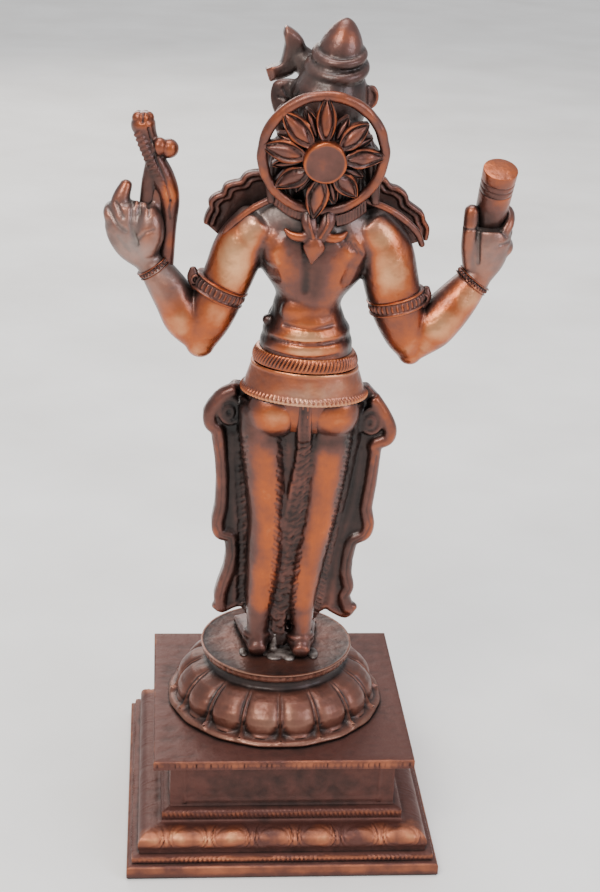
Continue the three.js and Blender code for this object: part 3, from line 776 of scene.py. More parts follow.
def hand_shapes():
    """The left hand, raised and open behind the plough, and the right one round the pestle."""
    # Palm, bent little finger, ring finger, inner palm and thumb, then the curled finger ends
    left = [
        limb([[34.4, 0.2, 148.4, 3.6, 3.2], [37.6, 0.0, 152.4, 5.1, 3.8], [39.3, -0.2, 156.8, 5.4, 4.2],
              [39.4, -0.4, 160.4, 4.0, 3.6]]),
        finger([[42.2, 0.6, 156.6], [43.2, 0.4, 159.0], [42.6, -2.6, 160.0], [38.0, -4.8, 159.0]], 1.75),
        limb([[41.6, 0.0, 159.4, 2.3], [40.7, -0.2, 163.0, 2.1], [39.5, -0.8, 166.0, 1.5]], sides=20,
             end_cap=0.8),
        limb([[34.8, 1.4, 150.4, 2.8], [34.2, 2.0, 154.4, 3.6], [34.0, 1.8, 158.0, 3.3],
              [34.2, 1.4, 160.4, 2.2]]),
        limb([[32.6, -0.6, 150.0, 2.0], [32.4, -0.8, 157.0, 2.2], [32.3, -0.8, 163.0, 2.0],
              [32.3, -0.6, 168.0, 1.4]]),
    ]
    left += [ball((37.2 - 1.9 * k, 1.0, 161.2 - 0.2 * k), (1.25, 1.2, 1.5)) for k in range(3)]
    # Palm, three fingers bent round the pestle, thumb
    right = [
        limb([[-45.0, 0.2, 146.0, 4.0, 3.4], [-46.4, 0.4, 150.0, 5.0, 4.2], [-47.2, 0.2, 154.0, 5.2, 4.8],
              [-47.3, 0.0, 156.4, 4.9, 4.6]], end_cap=0.3),
        finger([[-49.8, 1.6, 151.4], [-51.4, 0.6, 152.4], [-51.0, -3.0, 153.2], [-46.0, -6.4, 153.2]], 1.7),
        finger([[-49.6, 2.0, 154.4], [-51.4, -1.4, 156.4], [-46.0, -6.2, 156.8]], 1.5),
        finger([[-49.6, 2.6, 155.6], [-51.3, 1.4, 158.4], [-51.6, -1.2, 160.6], [-50.2, -3.8, 161.0],
                [-46.4, -5.8, 160.4]], 1.4),
        finger([[-42.8, 1.2, 147.6], [-41.9, 2.2, 153.0], [-42.0, 2.4, 158.0], [-42.2, 1.8, 161.6]], 1.85),
    ]
    return left + right


def body_creases():
    """Creases cut in the wax of the back and the hands: (points in X and Z, half width, depth)."""
    spine = (((-2.6, 160), (-2.3, 150), (-2.4, 144)), 1.5, 0.45)
    blades = []
    for side in (1, -1):
        path = [(BODY_X + side * x, z) for x, z in ((6.6, 159), (10.6, 153), (8.2, 146))]
        blades.append((path, 1.6, 0.35))
    rolls = [
        (((-12, 131.2), (-4, 130.9), (5, 131.3)), 0.7, 0.35),
        (((-11, 127.8), (-3.5, 127.4), (6, 128.2)), 0.6, 0.3),
        (((-9.5, 135.0), (-4, 134.5), (2, 135.0)), 0.7, 0.35),
    ]
    scratches = [(((x, z), (x - 2.0, z - 2.8)), 0.42, 0.3)
                 for x, z in ((-8.6 - 1.3 * k, 157.6 - 0.5 * k) for k in range(5))]
    # Between the fingers, first of the left hand and then of the right one
    knuckles = [
        (((43.6, 160.6), (41.4, 157.2), (39.6, 156.0)), 0.6, 0.4),
        (((41.9, 162.4), (40.2, 159.2)), 0.5, 0.4),
        (((37.9, 162.4), (38.4, 157.4), (37.0, 153.0)), 0.7, 0.45),
        (((36.3, 163.2), (36.3, 160.0)), 0.4, 0.35),
        (((34.2, 163.0), (34.2, 159.8)), 0.4, 0.35),
        (((33.0, 156.8), (35.0, 156.2), (36.6, 154.4)), 0.5, 0.25),
        (((41.6, 154.6), (38.6, 151.0)), 0.45, 0.2),
        (((-48.4, 158.4), (-50.6, 156.0)), 0.5, 0.35),
        (((-51.6, 154.6), (-49.0, 154.2)), 0.45, 0.3),
        (((-43.9, 158.6), (-43.9, 154.0), (-44.2, 149.6)), 0.6, 0.45),
        (((-40.2, 157.6), (-43.8, 157.9)), 0.4, 0.4),
        (((-44.4, 157.4), (-47.4, 157.6), (-49.4, 157.4)), 0.4, 0.3),
    ]
    return [spine, *blades, *rolls, *scratches, *knuckles]


def make_body(sizes, colours):
    """Torso, arms and hands."""
    trunk = limb([
        [-3.0, 1.0, 108, 12.0, 8.0], [-3.4, 1.4, 112, 14.0, 9.4], [BODY_X, 1.8, 118, 13.4, 9.8],
        [-3.7, 2.0, 124, 12.0, 9.6], [-3.8, 2.1, 127.4, 11.3, 9.3], [-3.8, 2.2, 129.4, 11.2, 9.6],
        [-3.8, 2.2, 131.2, 10.6, 8.9], [-3.8, 2.3, 132.8, 10.5, 9.1], [-3.8, 2.4, 135.0, 9.2, 8.0],
        [-3.8, 2.4, 138, 8.3, 7.2], [-4.1, 2.4, 141, 8.2, 7.2], [-4.5, 2.2, 146, 11.9, 8.6],
        [-4.8, 2.0, 151.5, 15.4, 9.0], [-5.0, 1.8, 157, 17.0, 8.4], [-5.2, 1.6, 161, 14.6, 7.6],
        [-5.6, 1.2, 164.5, 9.0, 6.6], [-6.2, 0.6, 169, 6.4, 6.2],
    ], sides=96, start_cap=0, end_cap=0)
    # Belly, breasts, shoulder blades and the small of the back
    shapes = [trunk, ball((BODY_X, -1.0, 131.6), (9.8, 7.8, 9.2))]
    shapes += [ball((x, -5.2, 151), (5.2, 5.2, 5.2)) for x in BREASTS_X]
    shapes += [ball((x, -10.0, 151), (1.0, 1.0, 1.0)) for x in BREASTS_X]
    shapes += [ball((x, 7.0, 153.5), (4.6, 3.4, 5.6)) for x in (3.4, -12.6)]
    shapes.append(ball((-3.2, 7.2, 138.0), (6.2, 2.6, 4.4)))
    shapes += [limb(LEFT_UPPER_ARM, end_cap=1.0), limb(LEFT_FOREARM, start_cap=1.0),
               limb(RIGHT_UPPER_ARM, end_cap=1.0), limb(RIGHT_FOREARM, start_cap=1.0)]
    shapes += hand_shapes()
    # Small round fastening of the waist cloth on the left
    shapes.append(ball((5.6, 3.6, 134.6), (1.5, 1.5, 1.4)))
    obj = piece("goddess_body", shapes)
    fuse(obj, grain_mm=sizes.casting_grain / MM, smoothing=5)
    carve(obj, body_creases())
    # Buffed shoulders, arms, elbows, shoulder blades and waist, with painted highlights on the shoulders,
    # the backs of the upper arms, the rolls of the waist and the left palm
    bright = [((11, 10, 158), (5, 6, 5), 0.95), ((14.6, 8, 150), (5, 6, 9), 1.0),
              ((18.4, 8, 138), (5, 5, 5), 0.74), ((22, 5, 129), (6, 6, 5), 0.7),
              ((27, 6, 134), (5, 5, 5), 0.74), ((-20.5, 10, 158), (5, 6, 5), 0.95),
              ((-22.6, 8, 149), (5, 6, 8), 0.86), ((-29.6, 6, 129.5), (7, 6, 5), 0.72),
              ((-36, 6, 135), (6, 6, 5), 0.86), ((-42, 4, 141), (5, 5, 4), 0.86),
              ((-11.5, 9, 148), (4, 5, 7), 0.74), ((3.6, 9, 150), (4, 4, 6), 0.7),
              ((-3, 11, 132.6), (7, 4, 2), 0.82), ((-3, 12, 129), (9, 5, 1.6), 0.8),
              ((-3, 10, 138.6), (5, 4, 4), 0.66), ((35, 6, 156), (3, 4, 4), 0.56)]
    # Painted highlights on the belly and the breasts
    bright += [((BODY_X, -9, 132), (6, 4, 5), 0.64)]
    bright += [((x, -10, 151), (5, 4, 5), 0.56) for x in BREASTS_X]
    # Painted shade at the neck under the wheel, the sides of the waist, the armpits, the spine and the
    # middle of the back, and darker at the hands
    dull = [((-5, 8, 163), (13, 8, 6), 0.7), ((40, 2, 156), (7, 8, 9), 0.12),
            ((-46, 2, 154), (7, 8, 8), 0.15), ((6.4, 4, 139), (3.6, 8, 8), 0.75),
            ((-14.6, 4, 139), (3.6, 8, 8), 0.75), ((8.4, 4, 131), (2.6, 8, 6), 0.6),
            ((-15.6, 4, 131), (2.6, 8, 6), 0.7), ((7.6, 6, 150), (1.8, 5, 5), 0.6),
            ((-16.4, 6, 150), (1.8, 5, 5), 0.6), ((26, 0, 147), (4, 6, 4), 0.4),
            ((-3, 10, 146), (3, 5, 7), 0.3), ((-47, 0, 161), (4, 6, 4), 0.5),
            ((-4, 10, 152), (6, 5, 9), 0.28)]
    # Painted grey reflection on the left palm and forearm, the shoulders, the right hand and the neck
    painted_sheen = [((38, 3, 155), (8, 8, 9), 0.8), ((31, 5, 145), (6, 6, 6), 0.5), ((9, 6, 162), (7, 6, 3.5), 0.7),
            ((-19, 6, 162), (7, 6, 3.5), 0.7), ((-47, 3, 152), (7, 7, 9), 0.4),
            ((-4, 8, 162), (14, 7, 5), 0.45)]
    # Painted shade on the body's flanks
    wear_and_light(obj, 0.52, bright, dull, painted_sheen=painted_sheen, flank_shade=0.3)
    return dress(obj, figure_copper(colours), "figure", crease=180)


# Where cloth meets the bare backs of the legs: (x at the top, x at the bottom, outward side)
LEG_EDGES = ((10.2, 9.2, 1), (2.2, 3.4, -1), (-6.2, -2.4, 1), (-14.6, -7.6, -1))


def foot_shapes():
    """Feet with toes and a pair of anklets each."""
    shapes = []
    for heel_x, heel_y, toe_x in ((6.2, 9.0, 7.8), (-4.9, 10.2, -6.6)):
        shapes.append(limb([[heel_x, heel_y, LOTUS_TOP + 2.0, 2.4, 2.0],
                            [heel_x, heel_y - 5, LOTUS_TOP + 2.2, 3.1, 2.2],
                            [(heel_x + toe_x) / 2, heel_y - 12, LOTUS_TOP + 1.8, 3.7, 1.8],
                            [toe_x, heel_y - 18, LOTUS_TOP + 1.3, 3.6, 1.3]], depth_axis=UPWARD))
        # Toes
        shapes += [ball((toe_x + (k - 2) * 1.5, heel_y - 19.2 + abs(k - 2) * 0.5, LOTUS_TOP + 1.0),
                        (0.8, 1.5, 0.9)) for k in range(5)]
        # Anklets
        shapes += [wire_ring((heel_x, heel_y - 4.0, LOTUS_TOP + height), 3.2, 0.55, UPWARD)
                   for height in (3.4, 4.9)]
    return shapes


def tassel_and_pleats():
    """Tassel cloth that hangs between the legs behind, and the pleats in front."""
    shapes = []
    for x, lean in ((-2.4, 1.4), (-3.6, 0.2), (-4.8, -1.0)):
        shapes.append(limb([[0.6 + lean, 5.6, 47.4, 0.8, 1.2], [0.2 + lean * 1.2, 4.8, 60, 1.0, 1.4],
                            [-1.8 + lean * 1.4, 5.2, 80, 1.2, 1.4], [x - 0.2, 6.6, 100, 1.0, 1.6],
                            [x, 9.0, 109, 0.7, 1.8], [x, 10.0, 117, 0.7, 1.8]], sides=20))
    for x in (-7.8, -4.6, -1.4, 1.8, 5.0):
        shapes.append(limb([[x * 0.55, -3.4, LOTUS_TOP + 3, 1.2, 1.4], [x * 0.8, -5.2, 80, 1.3, 1.9],
                            [x, -7.4, 114, 1.3, 2.0]], sides=20))
    return shapes


def drape_shapes():
    """Cloth at each side, knotted at the hip and falling in folds."""
    shapes = []
    for edge, side, inner, knotted in ((LEFT_DRAPE, 1, 3.0, 6), (RIGHT_DRAPE, -1, -3.0, 5)):
        shapes.append(plate([*edge, (inner, 56), (inner, 116)], -2.0, 1.7))
        # Rolled border, fuller along the knotted sash
        border = []
        for k, (x, z) in enumerate(edge[1:-4]):
            width, depth = (1.9, 2.2) if k < knotted else (1.75, 1.9)
            border.append([x - side * width, 1.1, z, width, depth])
        shapes.append(limb(border, sides=24, per_span=5))
        shapes.append(limb([[x, 0.8, z + 1.0, 1.1, 1.5] for x, z in edge[-5:]], sides=16, per_span=4))
    for fold in FOLDS:
        shapes += [limb([[x, y, z, 1.3, 1.0] for x, z in fold], sides=18) for y in (1.1, -1.7)]
    # Loops of the knotted sash on each hip
    for x, z in ((14.2, 110.6), (-20.8, 108.2)):
        shapes.append(ball((x, 1.2, z), (3.8, 1.7, 4.4)))
        shapes.append(wire_ring((x, 2.6, z), 2.5, 0.55, squash=1.25))
        shapes.append(wire_ring((x + 0.3, 2.9, z - 0.3), 1.1, 0.4, squash=1.25))
    return shapes


def make_skirt(sizes, colours):
    """Legs, feet, skirt, the cloth between the legs and the drapery at each side."""
    shapes = [limb(LEFT_LEG, end_cap=0), limb(RIGHT_LEG, end_cap=0), *foot_shapes()]
    # Buttocks, and the skirt as one closed tube
    shapes += [ball((x, 6.7, 112.0), (6.5, 4.9, 6.5), sides=56) for x in BUTTOCKS_X]
    shapes.append(limb([
        [0.0, 0.2, 53, 9.5, 3.6], [-0.6, 0.2, 60, 11.5, 4.4], [-1.6, 0.0, 75, 13.0, 5.2],
        [-2.4, -0.2, 90, 14.8, 6.2], [-3.0, 0.0, 104, 16.0, 7.4], [-3.4, 0.6, 114, 15.4, 9.2],
    ], sides=72, start_cap=0, end_cap=0))
    shapes += tassel_and_pleats() + drape_shapes()
    obj = piece("goddess_skirt", shapes)
    fuse(obj, grain_mm=sizes.casting_grain / MM, smoothing=2)
    # Short strokes of the chisel along the legs and down the tassel
    strokes = []
    for top, bottom, side in LEG_EDGES:
        for k in range(44):
            z = 106 - k * 1.25
            x = top + (bottom - top) * k / 44 + 0.3 * math.sin(k * 1.9)
            strokes.append((((x, z), (x + side * 1.7, z - 1.6)), 0.38, 0.26))
    for k in range(30):
        z = 105 - k * 1.8
        x = -1.2 - 2.4 * (z - 75) / 30 + 0.9 * math.sin(k * 2.3)
        strokes.append((((x - 1.0, z), (x + 0.2, z - 0.8), (x + 1.3, z - 0.1)), 0.42, 0.25))
    for edge, side in ((LEFT_DRAPE, 1), (RIGHT_DRAPE, -1)):
        strokes.append(([(x - side * (1.5 + 0.3 * math.sin(z)), z) for x, z in edge[6:-5]], 0.32, 0.22))
    carve(obj, strokes)
    # Buffed buttocks; backs of the legs and rolled borders as rubbed metal with painted light on the side
    # toward the camera
    bright = [((x, 12, 112.4), (5.6, 4.5, 4.8), 0.7) for x in BUTTOCKS_X]
    lines = [([(row[0], row[2]) for row in leg[1:-2]], 3.3, 0.6) for leg in (LEFT_LEG, RIGHT_LEG)]
    lines += [([(x - side * 1.5, z) for x, z in edge[1:-3]], 2.2, 0.43)
              for edge, side in ((LEFT_DRAPE, 1), (RIGHT_DRAPE, -1))]
    bright += [((-5.2, 10, 56), (2.6, 4, 3), 0.55)]
    bright += [((x, -9, z), (3, 5, 12), 0.6) for x in (-6, 0) for z in (70, 90, 108)]
    # Painted shade between the legs, in the side cloth, under the buttocks and the sash knots, and at the
    # hem
    dull = [((-2.6, 7, 84), (2.6, 6, 34), 0.15), ((13.2, 2, 86), (2.6, 5, 28), 0.62),
            ((-16.8, 2, 86), (3.0, 5, 28), 0.6), ((3, 9, 105.2), (7, 6, 2.2), 0.5),
            ((-11, 9, 105.0), (7, 6, 2.2), 0.5), ((12.8, 3, 110), (3.2, 5, 6), 0.6),
            ((-18.6, 3, 109), (3.6, 5, 7), 0.55), ((0, 6, 47), (16, 8, 3.5), 0.35),
            ((-3, 11, 113), (1.8, 4, 5), 0.45)]
    wear_and_light(obj, 0.36, bright, dull, lines)
    return dress(obj, figure_copper(colours), "figure", crease=180)


# Head and crown

def hair_locks():
    """Locks over the shoulders and curls, seen through the wheel."""
    shapes = []
    for k in range(7):
        x = -16.6 + k * 3.5
        shapes.append(limb([[x * 0.75 - 1.6, 6.4, 182.5, 1.5], [x, 7.6, 176, 1.7],
                            [x * 1.12 + 0.8, 7.0, 168.5, 1.5], [x * 1.15 + 0.8, 7.2, 164.5, 1.0]],
                           sides=18))
    for k, (x, z) in enumerate(((-17.4, 172), (-9.6, 184.4), (-2.6, 184.6), (4.8, 173.4))):
        shapes.append(wire_ring((x, 6.6, z), 1.5, 0.62, squash=0.8 + 0.1 * (k % 2)))
    return shapes


def crown_shapes():
    """Two rolls of cloth under a leaning cone."""
    lean = math.radians(10)
    tilt = (-math.sin(lean), 0.36, math.cos(lean))
    shapes = [wire_ring((-8.7, 0.3, 194.7), 6.0, 1.6, tilt, sides=20, steps=90),
              wire_ring((-9.2, 0.2, 197.7), 5.3, 1.2, tilt, sides=20, steps=90)]
    cone = [(4.6, -4.0), (5.2, -1.0), (5.2, 1.0), (4.8, 3.0), (4.0, 4.9), (2.9, 6.6), (1.7, 7.9),
            (0.7, 8.5)]
    angle = np.linspace(0, TURN, 72, endpoint=False)
    heights = curve_through([(r, z, 0, 0) for r, z in cone], 4)[:, :2]
    rings = [level_ring(angle, r, r, z) for r, z in heights]
    peak = skin(rings, (0, 0, -4.0), (0, 0, 8.7))
    shapes.append(placed(peak, Matrix.Rotation(-lean, 3, "Y"), (-9.4, -0.6, 197.2)))
    return shapes


def make_head(colours):
    """The sow's head turned up to the left, ears, hair and the crown."""
    hair = limb([
        [-6.2, 4.2, 164.5, 10.0, 3.2], [-6.2, 4.8, 170, 13.8, 3.8], [-6.2, 4.8, 176.5, 13.0, 4.4],
        [-6.4, 3.2, 181.5, 8.6, 5.2],
    ], sides=72, start_cap=0)
    skull = limb([
        [-6.0, 1.2, 164.5, 6.0, 5.6], [-6.2, 0.8, 172, 5.8, 5.6], [-6.4, 0.2, 177.5, 7.2, 7.0],
        [-6.8, 0.2, 185, 9.0, 8.6], [-7.8, -0.4, 190, 8.5, 8.2], [-8.4, -0.4, 195.0, 6.2, 6.2],
    ], sides=72, start_cap=0, end_cap=0)
    muzzle = limb([[-7.0, -2.4, 182.5, 6.6, 6.0], [-6.6, -4.4, 187.0, 5.6, 5.6],
                   [-5.0, -6.0, 190.8, 4.4, 4.4], [-2.6, -7.0, 193.8, 3.3, 3.2],
                   [0.2, -7.4, 195.9, 2.9, 2.3]])
    jaw = ball((-5.8, -4.2, 180.4), (5.6, 4.0, 4.6))
    # The flat snout disc in profile, as it shows beside the crown
    nose_edge = [(2.9, 202.7), (1.3, 201.9), (-0.2, 200.8), (-1.4, 199.4), (-2.1, 197.6), (-2.2, 195.6),
                 (-0.9, 193.4), (1.2, 191.2), (3.6, 190.2), (6.3, 189.6), (7.3, 192.5), (5.2, 192.9),
                 (3.8, 193.9), (3.3, 196.0), (2.9, 198.4), (3.4, 200.8)]
    shapes = [hair, skull, muzzle, jaw]
    nose_x, nose_y, nose_z = 1.4, -7.6, 196
    for shrink, deep in ((1.0, 1.5), (0.92, 2.0), (0.8, 2.4)):
        edge = [(nose_x + (x - nose_x) * shrink, nose_z + (z - nose_z) * shrink) for x, z in nose_edge]
        shapes.append(plate(edge, nose_y - deep, nose_y + deep))
    # Left ear, a lump of casting under the snout, and right ear
    shapes.append(limb([[-3.4, -0.4, 181.6, 3.0, 3.2], [0.8, -0.4, 184.0, 3.9, 2.6],
                        [2.4, -0.6, 187.4, 4.0, 1.8], [2.6, -0.8, 190.2, 3.4, 1.2]], end_cap=0.4))
    shapes.append(ball((0.2, -0.6, 189.6), (2.2, 2.0, 2.0)))
    shapes += [wire_ring((-16.9, 0.2, 187.9), 1.3, 0.6, squash=1.5),
               ball((-16.0, 0.0, 187.7), (1.6, 0.8, 2.1))]
    # Tusks and eyes on the side that faces away
    shapes += [limb([[x, -9.6, 192.6, 0.9], [x + 0.6, -10.6, 194.4, 0.7], [x + 0.4, -10.8, 196.6, 0.3]],
                    sides=14) for x in (-3.4, 1.4)]
    for x, y, z, way in ((-11.6, -6.6, 189.6, -0.5), (-2.2, -7.6, 186.8, 0.5)):
        shapes.append(ball((x, y, z), (1.3, 1.0, 1.0)))
        shapes.append(wire_ring((x, y - 0.2, z + 0.1), 1.5, 0.42, normal=(way, -1, 0.2), squash=0.75))
    # Lump of hair behind the left ear
    shapes.append(ball((3.0, 7.6, 183.6), (3.0, 1.6, 4.2)))
    shapes += hair_locks() + crown_shapes()
    obj = piece("sow_head_and_crown", shapes)
    fuse(obj, grain_mm=0.34, smoothing=2)
    # Folds of the left ear
    carve(obj, [(((0.4, 189.6), (3.6, 185.0)), 0.4, 0.4), (((3.6, 189.6), (0.6, 185.4)), 0.4, 0.4),
                (((4.6, 187.6), (2.2, 187.0)), 0.35, 0.3)])
    # Mouth under the muzzle and two nostrils
    carve(obj, [(((-9.4, 182.2), (-6.0, 181.8), (-3.2, 183.6), (-1.2, 187.4), (0.6, 192.0)), 0.5, 0.6),
                (((0.9, 196.2), (1.0, 196.8)), 0.7, 0.7), (((0.8, 198.6), (1.2, 199.2)), 0.7, 0.7)],
          side=-1)
    # Painted highlights on the crown, the snout, the right ear and the muzzle; painted shade on the hair
    # behind the wheel; a painted grey reflection on the head and the snout
    bright = [((-10.2, 3, 202), (5.5, 6, 4), 0.52), ((1.2, -6, 201), (2.6, 5, 2.6), 0.42),
              ((-17, 1, 188), (2.4, 3, 3), 0.5), ((6, -7, 191.5), (1.6, 4, 1.6), 0.42),
              ((-5, -10, 190), (4, 4, 5), 0.5)]
    wear_and_light(obj, 0.26, bright, [((-6, 7, 176), (14, 6, 9), 0.4)], edges=0.5,
        painted_sheen=[((-4, 2, 193), (16, 14, 12), 0.14), ((2, -6, 198), (5, 6, 6), 0.3)])
    return dress(obj, figure_copper(colours), "figure", crease=180)


# Wheel halo

WHEEL_CENTRE = (-5.35, 12.0, 176.9)
WHEEL_LEAN = math.radians(10)
# Petals as cast: angle from the photographed right in degrees, length and width against the mean
WHEEL_PETALS = ((90, 1.0, 0.95), (39, 0.89, 1.0), (0, 1.0, 1.0), (-51, 0.9, 1.05), (-97, 1.06, 1.1),
                (-144, 0.93, 1.1), (171, 1.0, 1.1), (133, 1.0, 1.1))


def wheel_turn():
    """The wheel's own plane to the frame: its face looks back and a little down."""
    return Matrix.Rotation(-math.pi / 2 - WHEEL_LEAN, 3, "X")


def wheel_petal(reach, half_width, hub_radius, hub_height, tip_height):
    """A lens-shaped petal from the hub to the rim, with a raised lens inside a rim line."""
    rings = []
    across = np.linspace(-1, 1, 21)
    ones = np.ones_like(across)
    for s in np.linspace(0.02, 0.98, 34):
        radius = hub_radius - 0.8 + s * (reach - hub_radius + 0.8)
        height = (hub_height - 2.4 - tip_height) * (1 - s) ** 1.4 + tip_height
        wide = half_width * math.sin(math.pi * s ** 0.9) ** 0.8 + 0.1
        inner = max(0.0, 1 - ((s - 0.52) / 0.4) ** 2)
        rim = 0.45 * bell(np.abs(across) - 0.86, 0.2) * min(1, 4 * s)
        lens_edge = max(0.56 * inner ** 0.5, 1e-3)
        lens = 1.15 * np.clip(1 - (across / lens_edge) ** 2, 0, 1) ** 0.6 * inner ** 0.5
        top = np.stack([radius * ones, across * wide, height + 0.35 + rim + lens], 1)
        low = np.stack([radius * ones, across[::-1] * wide, (height - 0.9) * ones], 1)
        rings.append(np.vstack([top, low]))
    return skin(rings, rings[0].mean(0), rings[-1].mean(0))


def make_wheel(sizes, colours):
    """The wheel halo: a wire rim, a flat hub and eight petals."""
    reach = sizes.wheel_radius / MM
    hub_radius = sizes.hub_radius / MM
    wire, hub_height = 1.25, 5.6
    rim = wire_ring((0, 0, 0), reach - wire, wire, normal=UPWARD, steps=150, sides=24)
    angle = np.linspace(0, TURN, 80, endpoint=False)
    hub_profile = [(3.4, -6.0), (3.4, 1.0), (hub_radius - 0.5, 1.6), (hub_radius, 2.4),
                   (hub_radius, hub_height - 0.5), (hub_radius - 0.12, hub_height - 0.15),
                   (hub_radius - 0.4, hub_height), (hub_radius - 0.7, hub_height - 0.08),
                   (hub_radius - 1.0, hub_height - 0.12), (1.5, hub_height - 0.02)]
    rings = [level_ring(angle, r, r, h) for r, h in hub_profile]
    shapes = [rim, skin(rings, (0, 0, -6.0), (0, 0, hub_height))]
    for turn, length, width in WHEEL_PETALS:
        # The longest petal lies over the rim
        tip = 1.9 if length > 1.05 else 0.5
        petal = wheel_petal((reach - 0.9) * length, 2.35 * width, hub_radius, hub_height, tip)
        shapes.append(placed(petal, Matrix.Rotation(math.radians(turn + 180), 3, "Z"), (0, 0, 0)))
        # Curled edge of the leaf behind each petal
        back = wheel_petal((reach - 3.2) * length, 1.5, hub_radius, hub_height - 1.4, -0.2)
        shapes.append(placed(back, Matrix.Rotation(math.radians(turn + 180 + 22), 3, "Z"), (0, 0, 0)))
    obj = piece("wheel_halo", [placed(shape, wheel_turn(), WHEEL_CENTRE) for shape in shapes])
    outward(obj)
    points = coordinates(obj)
    waves = np.sin(points @ np.array([[1.1, 0.7, 1.3], [0.9, 1.3, 0.4], [1.1, 0.5, 0.8]])).sum(1)
    set_coordinates(obj, points + normals(obj) * waves[:, None] * 0.045)
    x, y, z = WHEEL_CENTRE
    wear_and_light(obj, 0.44, bright=[((x, y + 6, z - 1), (5, 3, 5), 0.46), ((x, y + 2, z - 11), (2, 4, 5), 0.64)],
        edges=0.3)
    return dress(obj, figure_copper(colours), "figure", crease=45)


def make_ribbon(colours):
    """The bow that ties the wheel on, and the necklace's fringe beside it."""
    # Two strands, the loops to each side and the hanging leaf
    shapes = []
    for strand in (((-2.7, 9.8, 162.6, 1.9), (-2.9, 11.0, 160.2, 1.8), (-3.8, 11.3, 157.4, 1.3)),
                   ((-7.1, 9.8, 162.8, 1.9), (-6.9, 11.0, 160.4, 1.8), (-5.3, 11.3, 157.4, 1.3))):
        shapes.append(limb([(x, y, z, half, 1.1) for x, y, z, half in strand]))
        shapes.append(limb([(x, y + 1.1, z, 0.4, 0.4) for x, y, z, _ in strand], sides=14))
    shapes.append(limb([[-3.6, 10.9, 157.9, 1.3, 1.1], [-1.4, 11.0, 157.2, 1.25, 1.1],
                        [1.0, 10.6, 157.5, 1.05, 1.0], [2.7, 10.0, 158.7, 0.45, 0.45]]))
    shapes.append(limb([[-5.6, 10.9, 157.8, 1.3, 1.1], [-8.0, 10.9, 157.0, 1.25, 1.1],
                        [-10.2, 10.5, 157.2, 1.05, 1.0], [-11.7, 9.8, 158.2, 0.45, 0.45]]))
    shapes.append(limb([[-4.5, 11.0, 158.4, 0.8, 0.9], [-4.2, 11.4, 156.2, 2.2, 1.4],
                        [-4.0, 11.5, 154.4, 2.5, 1.4], [-3.6, 11.0, 150.9, 0.4, 0.5]]))
    # Fringed necklace that hangs on the back to each side of the ribbon
    for start, end in (((-1.2, 161.0), (5.6, 164.8)), ((-9.4, 159.8), (-16.0, 162.8))):
        run, rise = end[0] - start[0], end[1] - start[1]
        rope = [[start[0] + run * k / 3, depth, start[1] + rise * (k / 3) ** 1.4, 0.7]
                for k, depth in enumerate((9.3, 9.0, 8.2, 6.9))]
        shapes.append(limb(rope, sides=16))
        for x, y, z in curve_through(rope, 3)[:, :3]:
            thread = [[x, y + 0.5, z, 0.42], [x * 0.97 - 0.2, y + 0.9, z + 2.4, 0.42]]
            shapes.append(limb(thread, sides=10, per_span=3))
    obj = piece("halo_ribbon", shapes)
    fuse(obj, grain_mm=0.2, smoothing=1)
    wear_and_light(obj, 0.34, bright=[((-4.1, 12, 155), (2.4, 3, 3.4), 0.58), ((0.5, 12, 157.6), (3, 3, 2), 0.62),
                           ((-9.5, 12, 157.4), (3, 3, 2), 0.62), ((-4.9, 12, 160.4), (3.4, 3, 2.2), 0.5)],
        edges=0.9)
    return dress(obj, figure_copper(colours), "figure", crease=180)


# Belts, cuffs and collar

def relief_band(rows, columns, relief, shrink):
    """A closed band about Z, of rows (half width, half depth, z); relief(angle, share) stands outward."""
    angle = np.linspace(0, TURN, columns, endpoint=False)
    rings = []
    for k, (wide, deep, height) in enumerate(rows):
        raised = relief(angle, k / (len(rows) - 1))
        rings.append(level_ring(angle, wide + raised, deep + raised, height))
    for wide, deep, height in (rows[-1], rows[0]):
        rings.append(level_ring(angle, wide - shrink, deep - shrink, height))
    return hoop(rings)


def make_belts(colours):
    """A narrow corded belt over a wide one, with a clasp at the front."""
    def wide_belt(angle, share):
        hatch = pulse(angle / TURN * 84 + share * 1.8, 1.0, 0.42)
        edge = 0.65 * bell(share - 0.1, 0.15) * (0.3 + 0.7 * hatch)
        return edge + 0.22 * bell(share - 0.95, 0.06) + 0.08 * np.sin(angle * 9) * math.sin(math.pi * share)

    def narrow_belt(angle, share):
        swell = 0.7 * math.sin(math.pi * share) ** 0.6
        return swell - 0.42 * pulse(angle / TURN * 78 - share * 1.5, 1.0, 0.34) * math.sin(math.pi * share)

    bands = []
    # Lower and upper edge of each belt: (half width, half depth, z)
    for lower, upper, relief in (((15.4, 11.4, 115.9), (12.9, 10.3, 123.5), wide_belt),
                                 ((12.6, 10.1, 123.7), (11.7, 9.5, 127.2), narrow_belt)):
        points, faces = relief_band(np.linspace(lower, upper, 30), 440, relief, shrink=2.4)
        points = points + np.array([0, 1.9, 0])
        points[:, 2] += BELT_SLOPE * points[:, 0]
        points[:, 0] += BODY_X
        bands.append((points, faces))
    # Clasp at the front
    clasp = [ball((BODY_X, -9.6, 120), (3.2, 1.8, 3.0)), wire_ring((BODY_X, -11.0, 120), 2.2, 0.5)]
    obj = piece("hip_belts", bands + clasp)
    outward(obj)
    # Rubbed backs of the belts, with a painted grey reflection on the wide belt
    wear_and_light(obj, 0.54, bright=[((BODY_X, 12, 118.6), (14, 5, 4.5), 0.78),
                           ((BODY_X, 12, 125.5), (9, 4, 1.8), 0.68)],
        painted_sheen=[((BODY_X, 12, 119), (14, 5, 4), 0.5)])
    return dress(obj, figure_copper(colours), "figure", crease=50)


